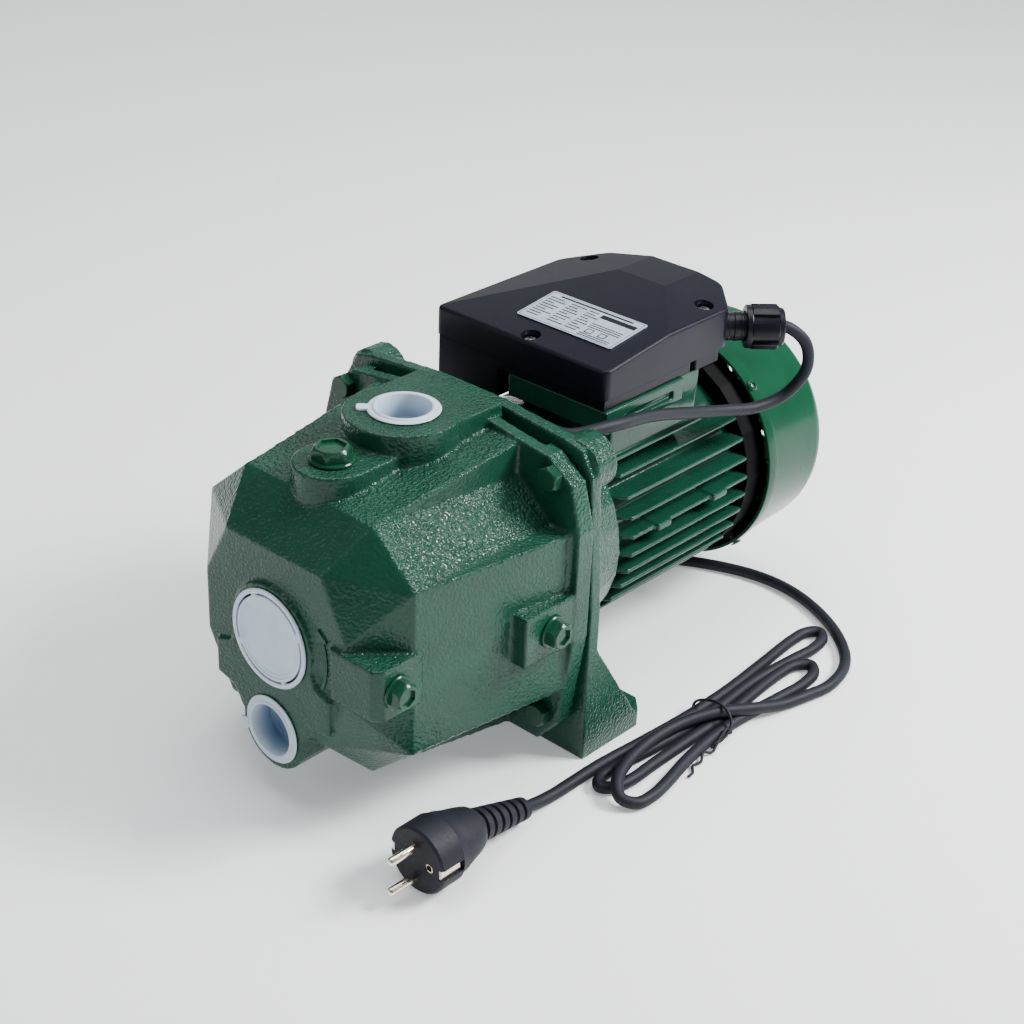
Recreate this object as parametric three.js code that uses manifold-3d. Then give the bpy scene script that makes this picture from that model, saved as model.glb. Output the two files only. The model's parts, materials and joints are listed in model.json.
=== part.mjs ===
// Two-pipe jet pump with its close-coupled motor, terminal box, supply lead and plug.
// Millimetres, +Z up, +Y from the ports to the fan. Lengths along Y are measured from the joint of
// casing and bracket. The group then moves by JOINT_Y, which puts the origin on the ground under the
// middle of the pump.
import * as THREE from "three";
import { ConvexGeometry } from "three/addons/geometries/ConvexGeometry.js";
import { mergeVertices } from "three/addons/utils/BufferGeometryUtils.js";
import Module from "manifold-3d";

const wasm = await Module();
wasm.setup();

// ---------------------------------------------------------------- driving dimensions
const JOINT_Y = -56.5; // casing joint, from the origin
const SHAFT_Z = 100; // shaft height above the feet
const GAP = 0.3; // between pieces that touch
const FINE = 28; // sides of a large round piece
const COARSE = 14; // sides of a small round piece
const INSIDE = 16; // sides of a large round piece that is hidden

const FACE_Y = -143; // machined port face
const CAST_Y = -140; // rough front wall
const SHOULDER_Y = -115; // where the nose meets the full section
const FLANGE_Y = -14; // front of the casing flange
const CASING_END_Y = -2;
const SHOULDER = { w: 78, h: 75, cutW: 48, cutH: 49 }; // half sizes of the octagon section
const NOSE = { w: 54, h: 51, cutW: 36, cutH: 18 };
const TALL_END = 90; // half height of the casing at its flange
const WIDE_END = 93.5; // half width of the casing at its flange
const WALL = 8;
const CAVITY = { front: -132, end: -18 };
const SPIGOT_R = 69; // casing bore at the bracket

const SUCTION = { x: 0, z: SHAFT_Z, bore: 23.9, boss: 31, cap: 28.4 };
const SUCTION_TUBE = { inner: 19.9, outer: 25, end: -78 };
const DRIVE = { x: 0, z: 42.6, bore: 16.6, boss: 24, cap: 20, bossEnd: -100 };
const DISCHARGE = { x: 0, y: -46, z: 200, bore: 16.6, boss: 32.5, cap: 20 };
const PRIMING = { x: 0, y: -98, z: 188.5, bore: 10.4, boss: 21.5 };
const SIDE_PLUG_BORE = 6.6;
const FRONT_PLUG = { x: 80, y: -129, z: 98.5 };
const GAUGE_PLUG = { x: 97.5, y: -31, z: 99 }; // one on each side

const BOLT = { x: 78, low: 30, high: 177.5, r: 4, flats: 13 };
const PLATE_W = 98; // half width of the bracket plate and across the feet
const PLATE_T = 8;
const BELL = { y: 58, rFront: 80, rRear: 70, wall: 7 };
const FOOT = { inner: 57, length: 57, height: 12, hole: 5 };

const SHAFT_R = 7.5;
const NECK_R = 6; // shaft under the impeller
const IMPELLER = { y0: -39, y1: -14.3, r: 52, eye: 17 };
const BEARING = { outer: 17.5, width: 11, front: 28.5, rear: 173 };

const STATOR = { y0: 58.4, y1: 178, r: 60, bore: 52.5 };
const FIN = { pitch: 11.6, first: -52.8, count: 9, tipR: 71, y0: 68.3, y1: 176.7, t: 2.6 };
const CORE = { y0: 84, y1: 149, outer: 51.8, bore: 33 };
const PAD = { x0: -8, x1: 64, y0: 45, y1: 113, z0: 176, z1: 189.5 };

const SHIELD = { y0: 178.3, y1: 190, r: 69.5, spigot: 66 };
const COVER = { y0: 192, lip: 200, lipR: 76.2, y1: 258, wall: 1.8, screwY: 196 };
const FAN = { y0: 205, y1: 231, r: 60 };

const BOX = { w: 64, y0: 43, y1: 172, cut: 21.5, rim: 197, top: 226, wall: 2.4 };
const BASE = { floor: 190, step: 120, shelf: 197.6, well: 172 };
const LID_SCREWS = [[3, 50], [53, 141], [-45, 156]];
const LABEL = { x0: -20, x1: 49, y0: 63, y1: 96, t: 0.5 };
const GLAND = { x: 53.25, y: 161.25, z: 203, neckR: 8.5, nutR: 13.2, neck: 12, reach: 35 };

const CORD_R = 3.55;
const PLUG = { x: 112.7, z: 20, face: -147, r: 19.2, pinOffset: 9.5, pinLength: 19.5, pinR: 2.4 };

// ---------------------------------------------------------------- materials
const finish = (color, roughness, metalness = 0) =>
  new THREE.MeshStandardMaterial({ color, roughness, metalness });
const castGreen = () => finish(0x1f5237, 0.42, 0.1);
const bareIron = () => finish(0x6f6f70, 0.55, 0.8);
const steel = () => finish(0xb9bcc0, 0.35, 0.95);
const brass = () => finish(0xb9924a, 0.35, 0.9);
const copper = () => finish(0xa85c32, 0.45, 0.8);
const rubber = () => finish(0x16171a, 0.75);
const clearCap = () => finish(0xd9e6ef, 0.35);
const blackPlastic = () => finish(0x24252c, 0.5);
const blackPaint = () => finish(0x131416, 0.45, 0.2);
const nickel = () => finish(0xcbbfa6, 0.25, 0.95);

// ---------------------------------------------------------------- solids
function toSolid(geometry) {
  const bare = geometry.clone();
  bare.deleteAttribute("normal");
  bare.deleteAttribute("uv");
  const merged = mergeVertices(bare, 1e-4);
  const mesh = new wasm.Mesh({
    numProp: 3,
    vertProperties: new Float32Array(merged.attributes.position.array),
    triVerts: new Uint32Array(merged.index.array),
  });
  return new wasm.Manifold(mesh);
}

function toGeometry(solid) {
  const { numProp, vertProperties, triVerts } = solid.getMesh();
  const positions = new Float32Array((vertProperties.length / numProp) * 3);
  for (let i = 0; i < positions.length; i++) {
    positions[i] = vertProperties[numProp * Math.floor(i / 3) + (i % 3)];
  }
  const geometry = new THREE.BufferGeometry();
  geometry.setAttribute("position", new THREE.BufferAttribute(positions, 3));
  geometry.setIndex(new THREE.BufferAttribute(new Uint32Array(triVerts), 1));
  geometry.computeVertexNormals();
  return geometry;
}

const join = (...solids) => solids.flat().reduce((whole, piece) => whole.add(piece));
const cut = (solid, ...tools) => tools.flat().reduce((left, tool) => left.subtract(tool), solid);

function block([x0, x1], [y0, y1], [z0, z1]) {
  const geometry = new THREE.BoxGeometry(x1 - x0, y1 - y0, z1 - z0);
  return toSolid(geometry.translate((x0 + x1) / 2, (y0 + y1) / 2, (z0 + z1) / 2));
}

function hull(points) {
  return toSolid(new ConvexGeometry(points.map(([x, y, z]) => new THREE.Vector3(x, y, z))));
}

// Round bars along Y, Z and X between two places on that axis.
function barY(radius, [y0, y1], [x, z] = [0, SHAFT_Z], sides = COARSE) {
  const geometry = new THREE.CylinderGeometry(radius, radius, y1 - y0, sides);
  return toSolid(geometry.translate(x, (y0 + y1) / 2, z));
}

function barZ(radius, [z0, z1], [x, y], sides = COARSE) {
  const geometry = new THREE.CylinderGeometry(radius, radius, z1 - z0, sides).rotateX(Math.PI / 2);
  return toSolid(geometry.translate(x, y, (z0 + z1) / 2));
}

function barX(radius, [x0, x1], [y, z], sides = COARSE) {
  const geometry = new THREE.CylinderGeometry(radius, radius, x1 - x0, sides).rotateZ(-Math.PI / 2);
  return toSolid(geometry.translate((x0 + x1) / 2, y, z));
}

// Turned about Y through the origin. The profile is [radius, y], from axis to axis or closed.
function turned(profile, sides = FINE) {
  return toSolid(new THREE.LatheGeometry(profile.map(([r, y]) => new THREE.Vector2(r, y)), sides));
}

function onShaft(profile, sides = FINE) {
  const points = profile.map(([r, y]) => new THREE.Vector2(r, y));
  return toSolid(new THREE.LatheGeometry(points, sides).translate(0, 0, SHAFT_Z));
}

function ring(inner, outer, [y0, y1], sides = INSIDE) {
  return onShaft([[inner, y0], [outer, y0], [outer, y1], [inner, y1], [inner, y0]], sides);
}

// Round or hexagonal bar about Y through the origin.
function prism(radius, [y0, y1], sides) {
  const geometry = new THREE.CylinderGeometry(radius, radius, y1 - y0, sides);
  return toSolid(geometry.translate(0, (y0 + y1) / 2, 0));
}

const toShape = (outline) => new THREE.Shape(outline.map(([u, v]) => new THREE.Vector2(u, v)));

// Plates with their outline in X and Z, and in X and Y.
function plateY(outline, [y0, y1]) {
  const geometry = new THREE.ExtrudeGeometry(toShape(outline), { depth: y1 - y0, bevelEnabled: false });
  return toSolid(geometry.rotateX(Math.PI / 2).translate(0, y1, 0));
}

function plateZ(outline, [z0, z1]) {
  const geometry = new THREE.ExtrudeGeometry(toShape(outline), { depth: z1 - z0, bevelEnabled: false });
  return toSolid(geometry.translate(0, 0, z0));
}

// A solid built round the origin, turned so that its +Y points along direction, then moved.
function aimed(solid, direction, place) {
  const turn = new THREE.Quaternion().setFromUnitVectors(
    new THREE.Vector3(0, 1, 0),
    new THREE.Vector3(...direction).normalize(),
  );
  return toSolid(toGeometry(solid).applyQuaternion(turn).translate(...place));
}

// A solid turned about the shaft axis.
function swung(solid, angle) {
  const geometry = toGeometry(solid).translate(0, 0, -SHAFT_Z).rotateY(angle);
  return toSolid(geometry.translate(0, 0, SHAFT_Z));
}

const mirrorX = (outline) => [
  ...outline,
  ...outline.filter(([x]) => x > 0).map(([x, z]) => [-x, z]).reverse(),
];
const bothSides = (make) => [-1, 1].map(make);
const angles = (count, start = 0) =>
  Array.from({ length: count }, (_, i) => start + (i * 2 * Math.PI) / count);

const REARWARD = [0, 1, 0];
const FORWARD = [0, -1, 0];
const DOWN = [0, 0, -1];
const LEFT = [-1, 0, 0];
const RIGHT = [1, 0, 0];

const pump = new THREE.Group();

function addNode(name, solid, material) {
  const mesh = new THREE.Mesh(toGeometry(solid), material);
  mesh.name = name;
  pump.add(mesh);
}

// ---------------------------------------------------------------- pump casing
function octagon({ w, h, cutW, cutH }, y) {
  const corners = [[cutW, h], [w, cutH], [w, -cutH], [cutW, -h]];
  return corners.flatMap(([x, z]) => [[x, y, SHAFT_Z + z], [-x, y, SHAFT_Z + z]]);
}

function rectangle(w, h, y) {
  return bothSides((sx) => bothSides((sz) => [sx * w, y, SHAFT_Z + sz * h])).flat();
}

function inset({ w, h, cutW, cutH }, t) {
  return { w: w - t, h: h - t, cutW: cutW - t * 0.6, cutH: cutH - t * 0.6 };
}

// An octagonal nose and trunk, with a tall block and a wide block that open towards the flange.
function casingBody() {
  const back = CASING_END_Y - 6;
  return join(
    hull([...octagon(NOSE, CAST_Y), ...octagon(SHOULDER, SHOULDER_Y)]),
    hull([...octagon(SHOULDER, SHOULDER_Y), ...octagon(SHOULDER, back)]),
    hull([
      ...rectangle(SHOULDER.cutW, SHOULDER.h, SHOULDER_Y),
      ...rectangle(SHOULDER.cutW + 6, TALL_END, back),
    ]),
    hull([
      ...rectangle(SHOULDER.w, SHOULDER.cutH, SHOULDER_Y),
      ...rectangle(WIDE_END, SHOULDER.cutH, back),
    ]),
  );
}

function casingFlange() {
  const outline = [[0, 198], [74, 188], [91, 176], [98, 150], [98, 84], [90, 27], [76, 11]];
  return plateY(mirrorX(outline), [FLANGE_Y, CASING_END_Y]);
}

// The machined face: a ring round the suction port, an apron under it and the drive port's boss.
function portFace() {
  const apron = [[0, 38], [25, 46], [31, 56], [44.5, 59], [44.5, 80], [33, 84], [29, 96], [0, 110]];
  return join(
    barY(SUCTION.boss, [FACE_Y, CAVITY.front], undefined, FINE),
    plateY(mirrorX(apron), [FACE_Y, CAVITY.front]),
    barY(DRIVE.boss, [FACE_Y, DRIVE.bossEnd], [DRIVE.x, DRIVE.z], FINE),
  );
}

function topBosses() {
  const from = SHAFT_Z + SHOULDER.h - WALL - 1;
  const seat = DISCHARGE.boss - 2;
  return join(
    barZ(DISCHARGE.boss, [from, DISCHARGE.z], [DISCHARGE.x, DISCHARGE.y - 1], FINE),
    block([-seat, seat], [DISCHARGE.y - 1, CASING_END_Y], [from, DISCHARGE.z]),
    barZ(PRIMING.boss, [from, PRIMING.z], [PRIMING.x, PRIMING.y], FINE),
    block([-PRIMING.boss, PRIMING.boss], [PRIMING.y, DISCHARGE.y], [from, PRIMING.z]),
  );
}

function sidePads() {
  const heights = [84, 114];
  const inside = 45;
  const corner = hull(heights.flatMap((z) => [
    [inside, FACE_Y, z], [FRONT_PLUG.x - 5, FACE_Y, z], [FRONT_PLUG.x, FACE_Y + 5, z],
    [FRONT_PLUG.x, SHOULDER_Y + 4, z], [inside, SHOULDER_Y + 4, z],
  ]));
  return join(corner, block([-GAUGE_PLUG.x, GAUGE_PLUG.x], [-52, CASING_END_Y], heights));
}

const boltPlaces = bothSides((side) => [[side * BOLT.x, BOLT.low], [side * BOLT.x, BOLT.high]]).flat();

function casingHollow() {
  return join(
    hull([
      ...octagon(inset(NOSE, WALL + 2), CAVITY.front),
      ...octagon(inset(SHOULDER, WALL), SHOULDER_Y + 2),
      ...octagon(inset(SHOULDER, WALL), CAVITY.end),
    ]),
    barY(SPIGOT_R, [CAVITY.end - 4, 0], undefined, FINE),
  );
}

function pumpCasing() {
  const solid = join(casingBody(), casingFlange(), portFace(), topBosses(), sidePads());
  const tube = barY(SUCTION_TUBE.outer, [CAVITY.front - 2, SUCTION_TUBE.end], undefined, FINE);
  const pryGaps = [-66, 31].map((x) => block([x, x + 35], [CASING_END_Y - 4, 0], [184, 210]));
  const threadEnd = -118;
  const inside = SHAFT_Z + SHOULDER.h - 20;
  const holes = [
    barY(SUCTION.bore, [FACE_Y - 1, threadEnd], undefined, FINE),
    barY(SUCTION_TUBE.inner, [threadEnd - 1, SUCTION_TUBE.end + 1], undefined, FINE),
    barY(DRIVE.bore, [FACE_Y - 1, DRIVE.bossEnd - 8], [DRIVE.x, DRIVE.z], FINE),
    barZ(DISCHARGE.bore, [inside, DISCHARGE.z + 1], [DISCHARGE.x, DISCHARGE.y], FINE),
    barZ(PRIMING.bore, [inside, PRIMING.z + 1], [PRIMING.x, PRIMING.y]),
    barX(SIDE_PLUG_BORE, [40, FRONT_PLUG.x + 1], [FRONT_PLUG.y, FRONT_PLUG.z]),
    barX(SIDE_PLUG_BORE, [-GAUGE_PLUG.x - 1, GAUGE_PLUG.x + 1], [GAUGE_PLUG.y, GAUGE_PLUG.z]),
    ...boltPlaces.map((place) => barY(BOLT.r + GAP, [FLANGE_Y - 1, 0], place, 12)),
  ];
  return cut(join(cut(solid, casingHollow()), tube), holes, pryGaps);
}

addNode("pump_casing", pumpCasing(), castGreen());
addNode("casing_gasket", ring(SPIGOT_R + GAP, 78, [CASING_END_Y + GAP, -GAP], FINE), rubber());

// ---------------------------------------------------------------- port caps and plugs
// Each is built about +Y through the origin, and +Y points into the hole.
function cupCap(bore, flange, depth, tabAngle) {
  const outer = bore - 0.5;
  const inner = outer - 1.4;
  const cup = turned([
    [0, depth - 1.4], [inner, depth - 1.4], [inner, -1.8], [flange, -1.8], [flange, -GAP],
    [outer, -GAP], [outer, depth], [0, depth],
  ]);
  const tab = new THREE.BoxGeometry(7, 1.2, 6).translate(flange + 2, -1, 0).rotateY(tabAngle);
  return join(cup, toSolid(tab));
}

function discCap(bore, flange, depth) {
  const outer = bore - 0.5;
  return turned([
    [0, -1.8], [flange, -1.8], [flange, -GAP], [outer, -GAP], [outer, depth], [outer - 1.4, depth],
    [outer - 1.4, 0], [0, 0],
  ]);
}

// Hexagon plug with a dished head, a collar and a threaded stem.
function hexPlug(acrossFlats, headHeight, collarR, stemR, stemLength) {
  const hexR = acrossFlats / Math.sqrt(3);
  const collar = -GAP - 1.6;
  const top = collar - headHeight;
  return cut(
    join(
      prism(hexR, [top, collar + 0.8], 6),
      prism(collarR, [collar, -GAP], COARSE),
      prism(stemR, [collar + 0.8, stemLength], COARSE),
    ),
    prism(hexR - 3, [top - 1, top + 1.6], 6),
  );
}

const place = ({ x, y = FACE_Y, z }) => [x, y, z];
addNode("suction_port_cap", aimed(discCap(SUCTION.bore, SUCTION.cap, 12), REARWARD, place(SUCTION)),
  clearCap());
addNode("drive_port_cap", aimed(cupCap(DRIVE.bore, DRIVE.cap, 14, Math.PI), REARWARD, place(DRIVE)),
  clearCap());
addNode("discharge_port_cap",
  aimed(cupCap(DISCHARGE.bore, DISCHARGE.cap, 14, Math.PI * 0.75), DOWN, place(DISCHARGE)), clearCap());
addNode("priming_plug", aimed(hexPlug(19, 6.5, 12.5, PRIMING.bore - GAP, 13), DOWN, place(PRIMING)),
  castGreen());
const sidePlug = hexPlug(14, 6.5, 9.5, SIDE_PLUG_BORE - GAP, 14);
addNode("front_drain_plug", aimed(sidePlug, LEFT, place(FRONT_PLUG)), castGreen());
addNode("right_gauge_plug", aimed(sidePlug, LEFT, place(GAUGE_PLUG)), castGreen());
addNode("left_gauge_plug", aimed(sidePlug, RIGHT, [-GAUGE_PLUG.x, GAUGE_PLUG.y, GAUGE_PLUG.z]),
  castGreen());

// ---------------------------------------------------------------- motor bracket
function bracketPlate() {
  const outline = [
    [25, 197], [61, 194], [73, 193], [85, 190], [93, 176], [95.5, 138], [PLATE_W, 98], [PLATE_W, 0],
    [FOOT.inner, 0], [FOOT.inner, 1.3],
  ];
  return plateY(mirrorX(outline), [0, PLATE_T]);
}

function foot(side) {
  const inner = side * FOOT.inner;
  const outer = side * PLATE_W;
  const pad = plateZ(
    [[inner, 4], [outer, 4], [outer, FOOT.length - 8], [side * (PLATE_W - 8), FOOT.length],
      [inner, FOOT.length]],
    [0, FOOT.height],
  );
  const gusset = hull([outer - side * PLATE_T, outer].flatMap((x) => [
    [x, 4, 0], [x, 4, 76], [x, PLATE_T, 69], [x, 46, FOOT.height - 1], [x, 46, 0],
  ]));
  return join(pad, gusset);
}

function motorBracket() {
  const bell = onShaft([
    [BELL.rFront - BELL.wall, 6], [BELL.rFront, 6], [BELL.rFront, PLATE_T], [BELL.rRear, BELL.y],
    [STATOR.bore - GAP, BELL.y], [STATOR.bore - GAP, BELL.y + 4], [49, BELL.y + 4], [49, BELL.y - 4],
    [BELL.rRear - BELL.wall, BELL.y - 4], [BELL.rFront - BELL.wall, 6],
  ]);
  const pocket = BEARING.outer + GAP;
  const web = ring(9, 69, [24, 28], FINE);
  const hub = ring(pocket, 23, [27, 44]);
  const lugs = boltPlaces.map((spot) => barY(16, [4, 20], spot, INSIDE));
  const solid = join(bracketPlate(), bell, web, hub, lugs, bothSides(foot));
  return cut(
    solid,
    barY(9, [-1, 12]),
    barY(14.6, [-1, 3.5], undefined, INSIDE),
    boltPlaces.map((spot) => barY(BOLT.r + GAP, [-1, 17], spot, 12)),
    bothSides((side) => barZ(FOOT.hole, [-1, FOOT.height + 1], [side * 76, 38], 12)),
    block([-12, 12], [11, 21], [10, 40]),
  );
}

addNode("motor_bracket", motorBracket(), castGreen());

boltPlaces.forEach((spot, i) => {
  const head = FLANGE_Y - GAP;
  const bolt = join(prism(BOLT.flats / Math.sqrt(3), [0, 6], 6), prism(BOLT.r, [-30, 1], 12));
  addNode(`flange_bolt_${i + 1}`, aimed(bolt, FORWARD, [spot[0], head, spot[1]]), castGreen());
});

// ---------------------------------------------------------------- wet end inside the casing
function diffuser() {
  const vanes = angles(6).map((angle) =>
    swung(block([53.5, 63], [-43, -20], [SHAFT_Z - 1.2, SHAFT_Z + 1.2]), angle));
  return join(
    ring(15.5, SUCTION_TUBE.inner - GAP, [-86, -41]),
    ring(15.5, 64, [-45, -42]),
    cut(ring(56, 64, [-43, -20]), angles(6, 0.5).map((angle) =>
      swung(block([50, 70], [-40, -24], [SHAFT_Z - 9, SHAFT_Z + 9]), angle))),
    vanes,
  );
}

function impeller() {
  const bore = NECK_R + GAP;
  const { y0, y1, r, eye } = IMPELLER;
  const vanes = angles(6).map((angle) =>
    swung(block([11, r - 2], [y0 + 2, y1 - 1], [SHAFT_Z - 1.2, SHAFT_Z + 1.2]), angle));
  return join(
    cut(join(ring(bore, 12, [y0, y1]), vanes), barY(bore, [y0 - 1, y1 + 1])),
    ring(eye, r, [y0 + 1, y0 + 3]),
    ring(bore, r, [y1 - 2.5, y1]),
  );
}

addNode("diffuser", diffuser(), blackPlastic());
addNode("impeller", impeller(), brass());
addNode("impeller_nut",
  cut(barY(8.5, [-46.5, IMPELLER.y0 - GAP], undefined, 6), barY(4.3, [-50, -30])), brass());
addNode("seal_rotating_ring", ring(NECK_R + GAP, 13, [IMPELLER.y1 + GAP, -4.6]), steel());
addNode("seal_fixed_seat", ring(8, 14, [-4.3, 3.2]), finish(0xe3ded2, 0.4));
addNode("shaft_slinger", ring(NECK_R + GAP, 16, [12, 15]), rubber());

// ---------------------------------------------------------------- shaft, rotor and bearings
addNode("shaft", onShaft([
  [0, -47], [4, -47], [4, -38], [NECK_R, -38], [NECK_R, 20], [SHAFT_R, 20], [SHAFT_R, 186], [5, 186],
  [5, 236], [0, 236],
], COARSE), steel());

function bearing(side, y) {
  const ballR = 2.5;
  const centre = 12.1;
  const balls = angles(6).map((angle) => {
    const ball = new THREE.OctahedronGeometry(ballR, 1);
    const [x, z] = [centre * Math.cos(angle), centre * Math.sin(angle)];
    return toSolid(ball.translate(x, y + BEARING.width / 2, SHAFT_Z + z));
  });
  const ends = [y, y + BEARING.width];
  addNode(`${side}_bearing_outer_race`, ring(15.2, BEARING.outer, ends), steel());
  addNode(`${side}_bearing_inner_race`, join(ring(SHAFT_R + GAP, 9.9, ends), balls), steel());
}

bearing("front", BEARING.front);
bearing("rear", BEARING.rear);
addNode("rotor_core", join(
  ring(SHAFT_R + GAP, CORE.bore - 0.8, [CORE.y0, CORE.y1]),
  ring(20, CORE.bore - 4, [CORE.y0 - 6, CORE.y1 + 6]),
), bareIron());

// ---------------------------------------------------------------- stator
addNode("stator_core", ring(CORE.bore, CORE.outer, [CORE.y0, CORE.y1]), bareIron());

function winding(y0, y1) {
  return onShaft([
    [39, y0], [47, y0], [50, y0 + 3], [50, y1 - 3], [47, y1], [39, y1], [36, y1 - 3], [36, y0 + 3],
    [39, y0],
  ], INSIDE);
}

addNode("front_winding", winding(CORE.y0 - 18, CORE.y0 - GAP), copper());
addNode("rear_winding", winding(CORE.y1 + GAP, CORE.y1 + 18), copper());

// A fin runs straight across the housing, so that both of its tips lie on the fin circle.
function fin(offset) {
  const tip = Math.sqrt(FIN.tipR ** 2 - offset ** 2);
  const root = tip - 12;
  const outline = mirrorX([[root, STATOR.y0 + 1], [tip, FIN.y0], [tip, FIN.y1], [root, FIN.y1]]);
  const z = SHAFT_Z + offset;
  return plateZ(outline, [z - FIN.t / 2, z + FIN.t / 2]);
}

function terminalPad() {
  const neck = [[PAD.x0, 150], [PAD.x0, 187], [58, 187], [57, 155], [48, 148], [40, 140]];
  return join(
    plateY(neck, [STATOR.y0, 135]),
    block([PAD.x0, PAD.x1], [PAD.y0, PAD.y1], [PAD.z0, PAD.z1]),
    block([40, 60], [STATOR.y0, 139], [152.3, 154.9]),
  );
}

function statorHousing() {
  const offsets = Array.from({ length: FIN.count }, (_, i) => FIN.first + i * FIN.pitch);
  const clips = [[88, 100], [140, 153]].map((ends) => block([60, 73.5], ends, [103, 107.5]));
  const shell = join(
    barY(STATOR.r, [STATOR.y0, STATOR.y1], undefined, 36),
    offsets.map(fin), terminalPad(), clips,
  );
  return cut(
    shell,
    barY(STATOR.bore, [STATOR.y0 - 1, STATOR.y1 + 1], undefined, FINE),
    block([2, 44], [66, 104], [140, 195]),
    block([PAD.x1 - 3, PAD.x1 + 1], [62, 104], [179, 184]),
    shieldScrewPlaces().map((spot) => barY(2.3, [162, 180], spot, 8)),
  );
}

function shieldScrewPlaces() {
  return angles(4, Math.PI / 4).map((a) => [56.3 * Math.cos(a), SHAFT_Z + 56.3 * Math.sin(a)]);
}

addNode("stator_housing", statorHousing(), castGreen());

// ---------------------------------------------------------------- rear shield, fan and cover
function rearShield() {
  const lugs = angles(4, Math.PI / 4).map((angle) =>
    swung(block([60, 72], [SHIELD.y1 + 1, 200], [SHAFT_Z - 6, SHAFT_Z + 6]), angle));
  const solid = join(
    ring(50, SHIELD.r, [SHIELD.y0, SHIELD.y1], FINE),
    ring(8, 52, [186, SHIELD.y1], FINE),
    ring(BEARING.outer + GAP, 22, [170, 187]),
    ring(60, SHIELD.spigot, [SHIELD.y1 - 1, 201], FINE),
    lugs,
  );
  return cut(
    solid,
    shieldScrewPlaces().map((spot) => barY(2.3, [170, 192], spot, 8)),
    coverScrews((angle) => radialBar(2.3, [58, 74], angle)),
  );
}

const coverScrews = (make) => angles(4, Math.PI / 4).map(make);

function radialBar(radius, [r0, r1], angle) {
  return swung(barX(radius, [r0, r1], [COVER.screwY, SHAFT_Z], 8), angle);
}

addNode("rear_end_shield", rearShield(), blackPaint());
shieldScrewPlaces().forEach((spot, i) => {
  const screw = join(barY(3, [190.3, 193], spot, 12), barY(1.9, [165, 191], spot, 8));
  addNode(`shield_screw_${i + 1}`, screw, steel());
});

function fan() {
  const bore = 5 + GAP;
  const blades = angles(8).map((angle) =>
    swung(block([11, FAN.r], [FAN.y0 + 1, FAN.y1], [SHAFT_Z - 1, SHAFT_Z + 1]), angle));
  return join(
    cut(join(ring(bore, 12, [FAN.y0, FAN.y1], COARSE), blades), barY(bore, [200, 240])),
    ring(bore, FAN.r, [FAN.y0, FAN.y0 + 2.5]),
  );
}

function fanCover() {
  const { y0, lip, lipR, y1, wall } = COVER;
  const shell = onShaft([
    [lipR - wall, y0], [lipR, y0], [lipR, lip], [75, lip + 1.5], [73.4, 246], [69, 253.5], [60, y1],
    [0, y1], [0, y1 - wall], [59.3, y1 - wall], [67.8, 252.3], [71.6, 245.5], [73.2, lip + 1],
    [lipR - wall, lip - 1], [lipR - wall, y0],
  ], 36);
  const slots = angles(18).map((angle) =>
    swung(block([22, 54], [y1 - 5, y1 + 1], [SHAFT_Z - 1.7, SHAFT_Z + 1.7]), angle));
  return cut(shell, slots, coverScrews((angle) => radialBar(2.3, [70, 80], angle)));
}

addNode("cooling_fan", fan(), blackPlastic());
addNode("fan_cover", fanCover(), castGreen());
coverScrews((angle) => join(
  radialBar(1.9, [62, 77], angle),
  swung(barX(4, [COVER.lipR + GAP, COVER.lipR + 2.6], [COVER.screwY, SHAFT_Z], 12), angle),
)).forEach((screw, i) => addNode(`fan_cover_screw_${i + 1}`, screw, castGreen()));

// ---------------------------------------------------------------- terminal box
function lidHeight(x, y) {
  const front = 214 + 0.125 * (y - BOX.y0);
  const left = BOX.top + 0.218 * (x + 9);
  const right = BOX.top - 0.145 * (x - 26);
  return Math.min(BOX.top, front, left, right);
}

// Plan of the box, drawn in by a margin, with its two rear corners cut off.
function boxPlan(margin, y0 = BOX.y0 + margin, y1 = BOX.y1 - margin) {
  const w = BOX.w - margin;
  const corner = BOX.cut - margin * 0.586;
  const cornerY = BOX.y1 - margin - corner;
  if (y1 < cornerY) return [[-w, y0], [w, y0], [w, y1], [-w, y1]];
  return [[-w, y0], [w, y0], [w, cornerY], [w - corner, y1], [corner - w, y1], [-w, cornerY]];
}

function lidHull(margin, drop, bottom) {
  const ridge = [[26, 139], [-9, 139], [26, BOX.y1 - margin], [-9, BOX.y1 - margin], [BOX.w - margin, 95]];
  const plan = boxPlan(margin);
  return hull([
    ...[...plan, ...ridge].map(([x, y]) => [x, y, lidHeight(x, y) - drop]),
    ...plan.map(([x, y]) => [x, y, bottom]),
  ]);
}

// A point on the gland's axis, at a distance outwards from the box corner.
const glandLine = (t) => [GLAND.x + t * Math.SQRT1_2, GLAND.y + t * Math.SQRT1_2, GLAND.z];
const GLAND_WAY = [1, 1, 0];
const onGland = (solid) => aimed(solid, GLAND_WAY, glandLine(0));

// Upright block that the gland's axis crosses squarely.
function glandBlock([t0, t1], half, [z0, z1]) {
  return hull([t0, t1].flatMap((t) => bothSides((side) => {
    const [x, y] = glandLine(t);
    const offset = side * half * Math.SQRT1_2;
    return [[x + offset, y - offset, z0], [x + offset, y - offset, z1]];
  }).flat()));
}

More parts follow.
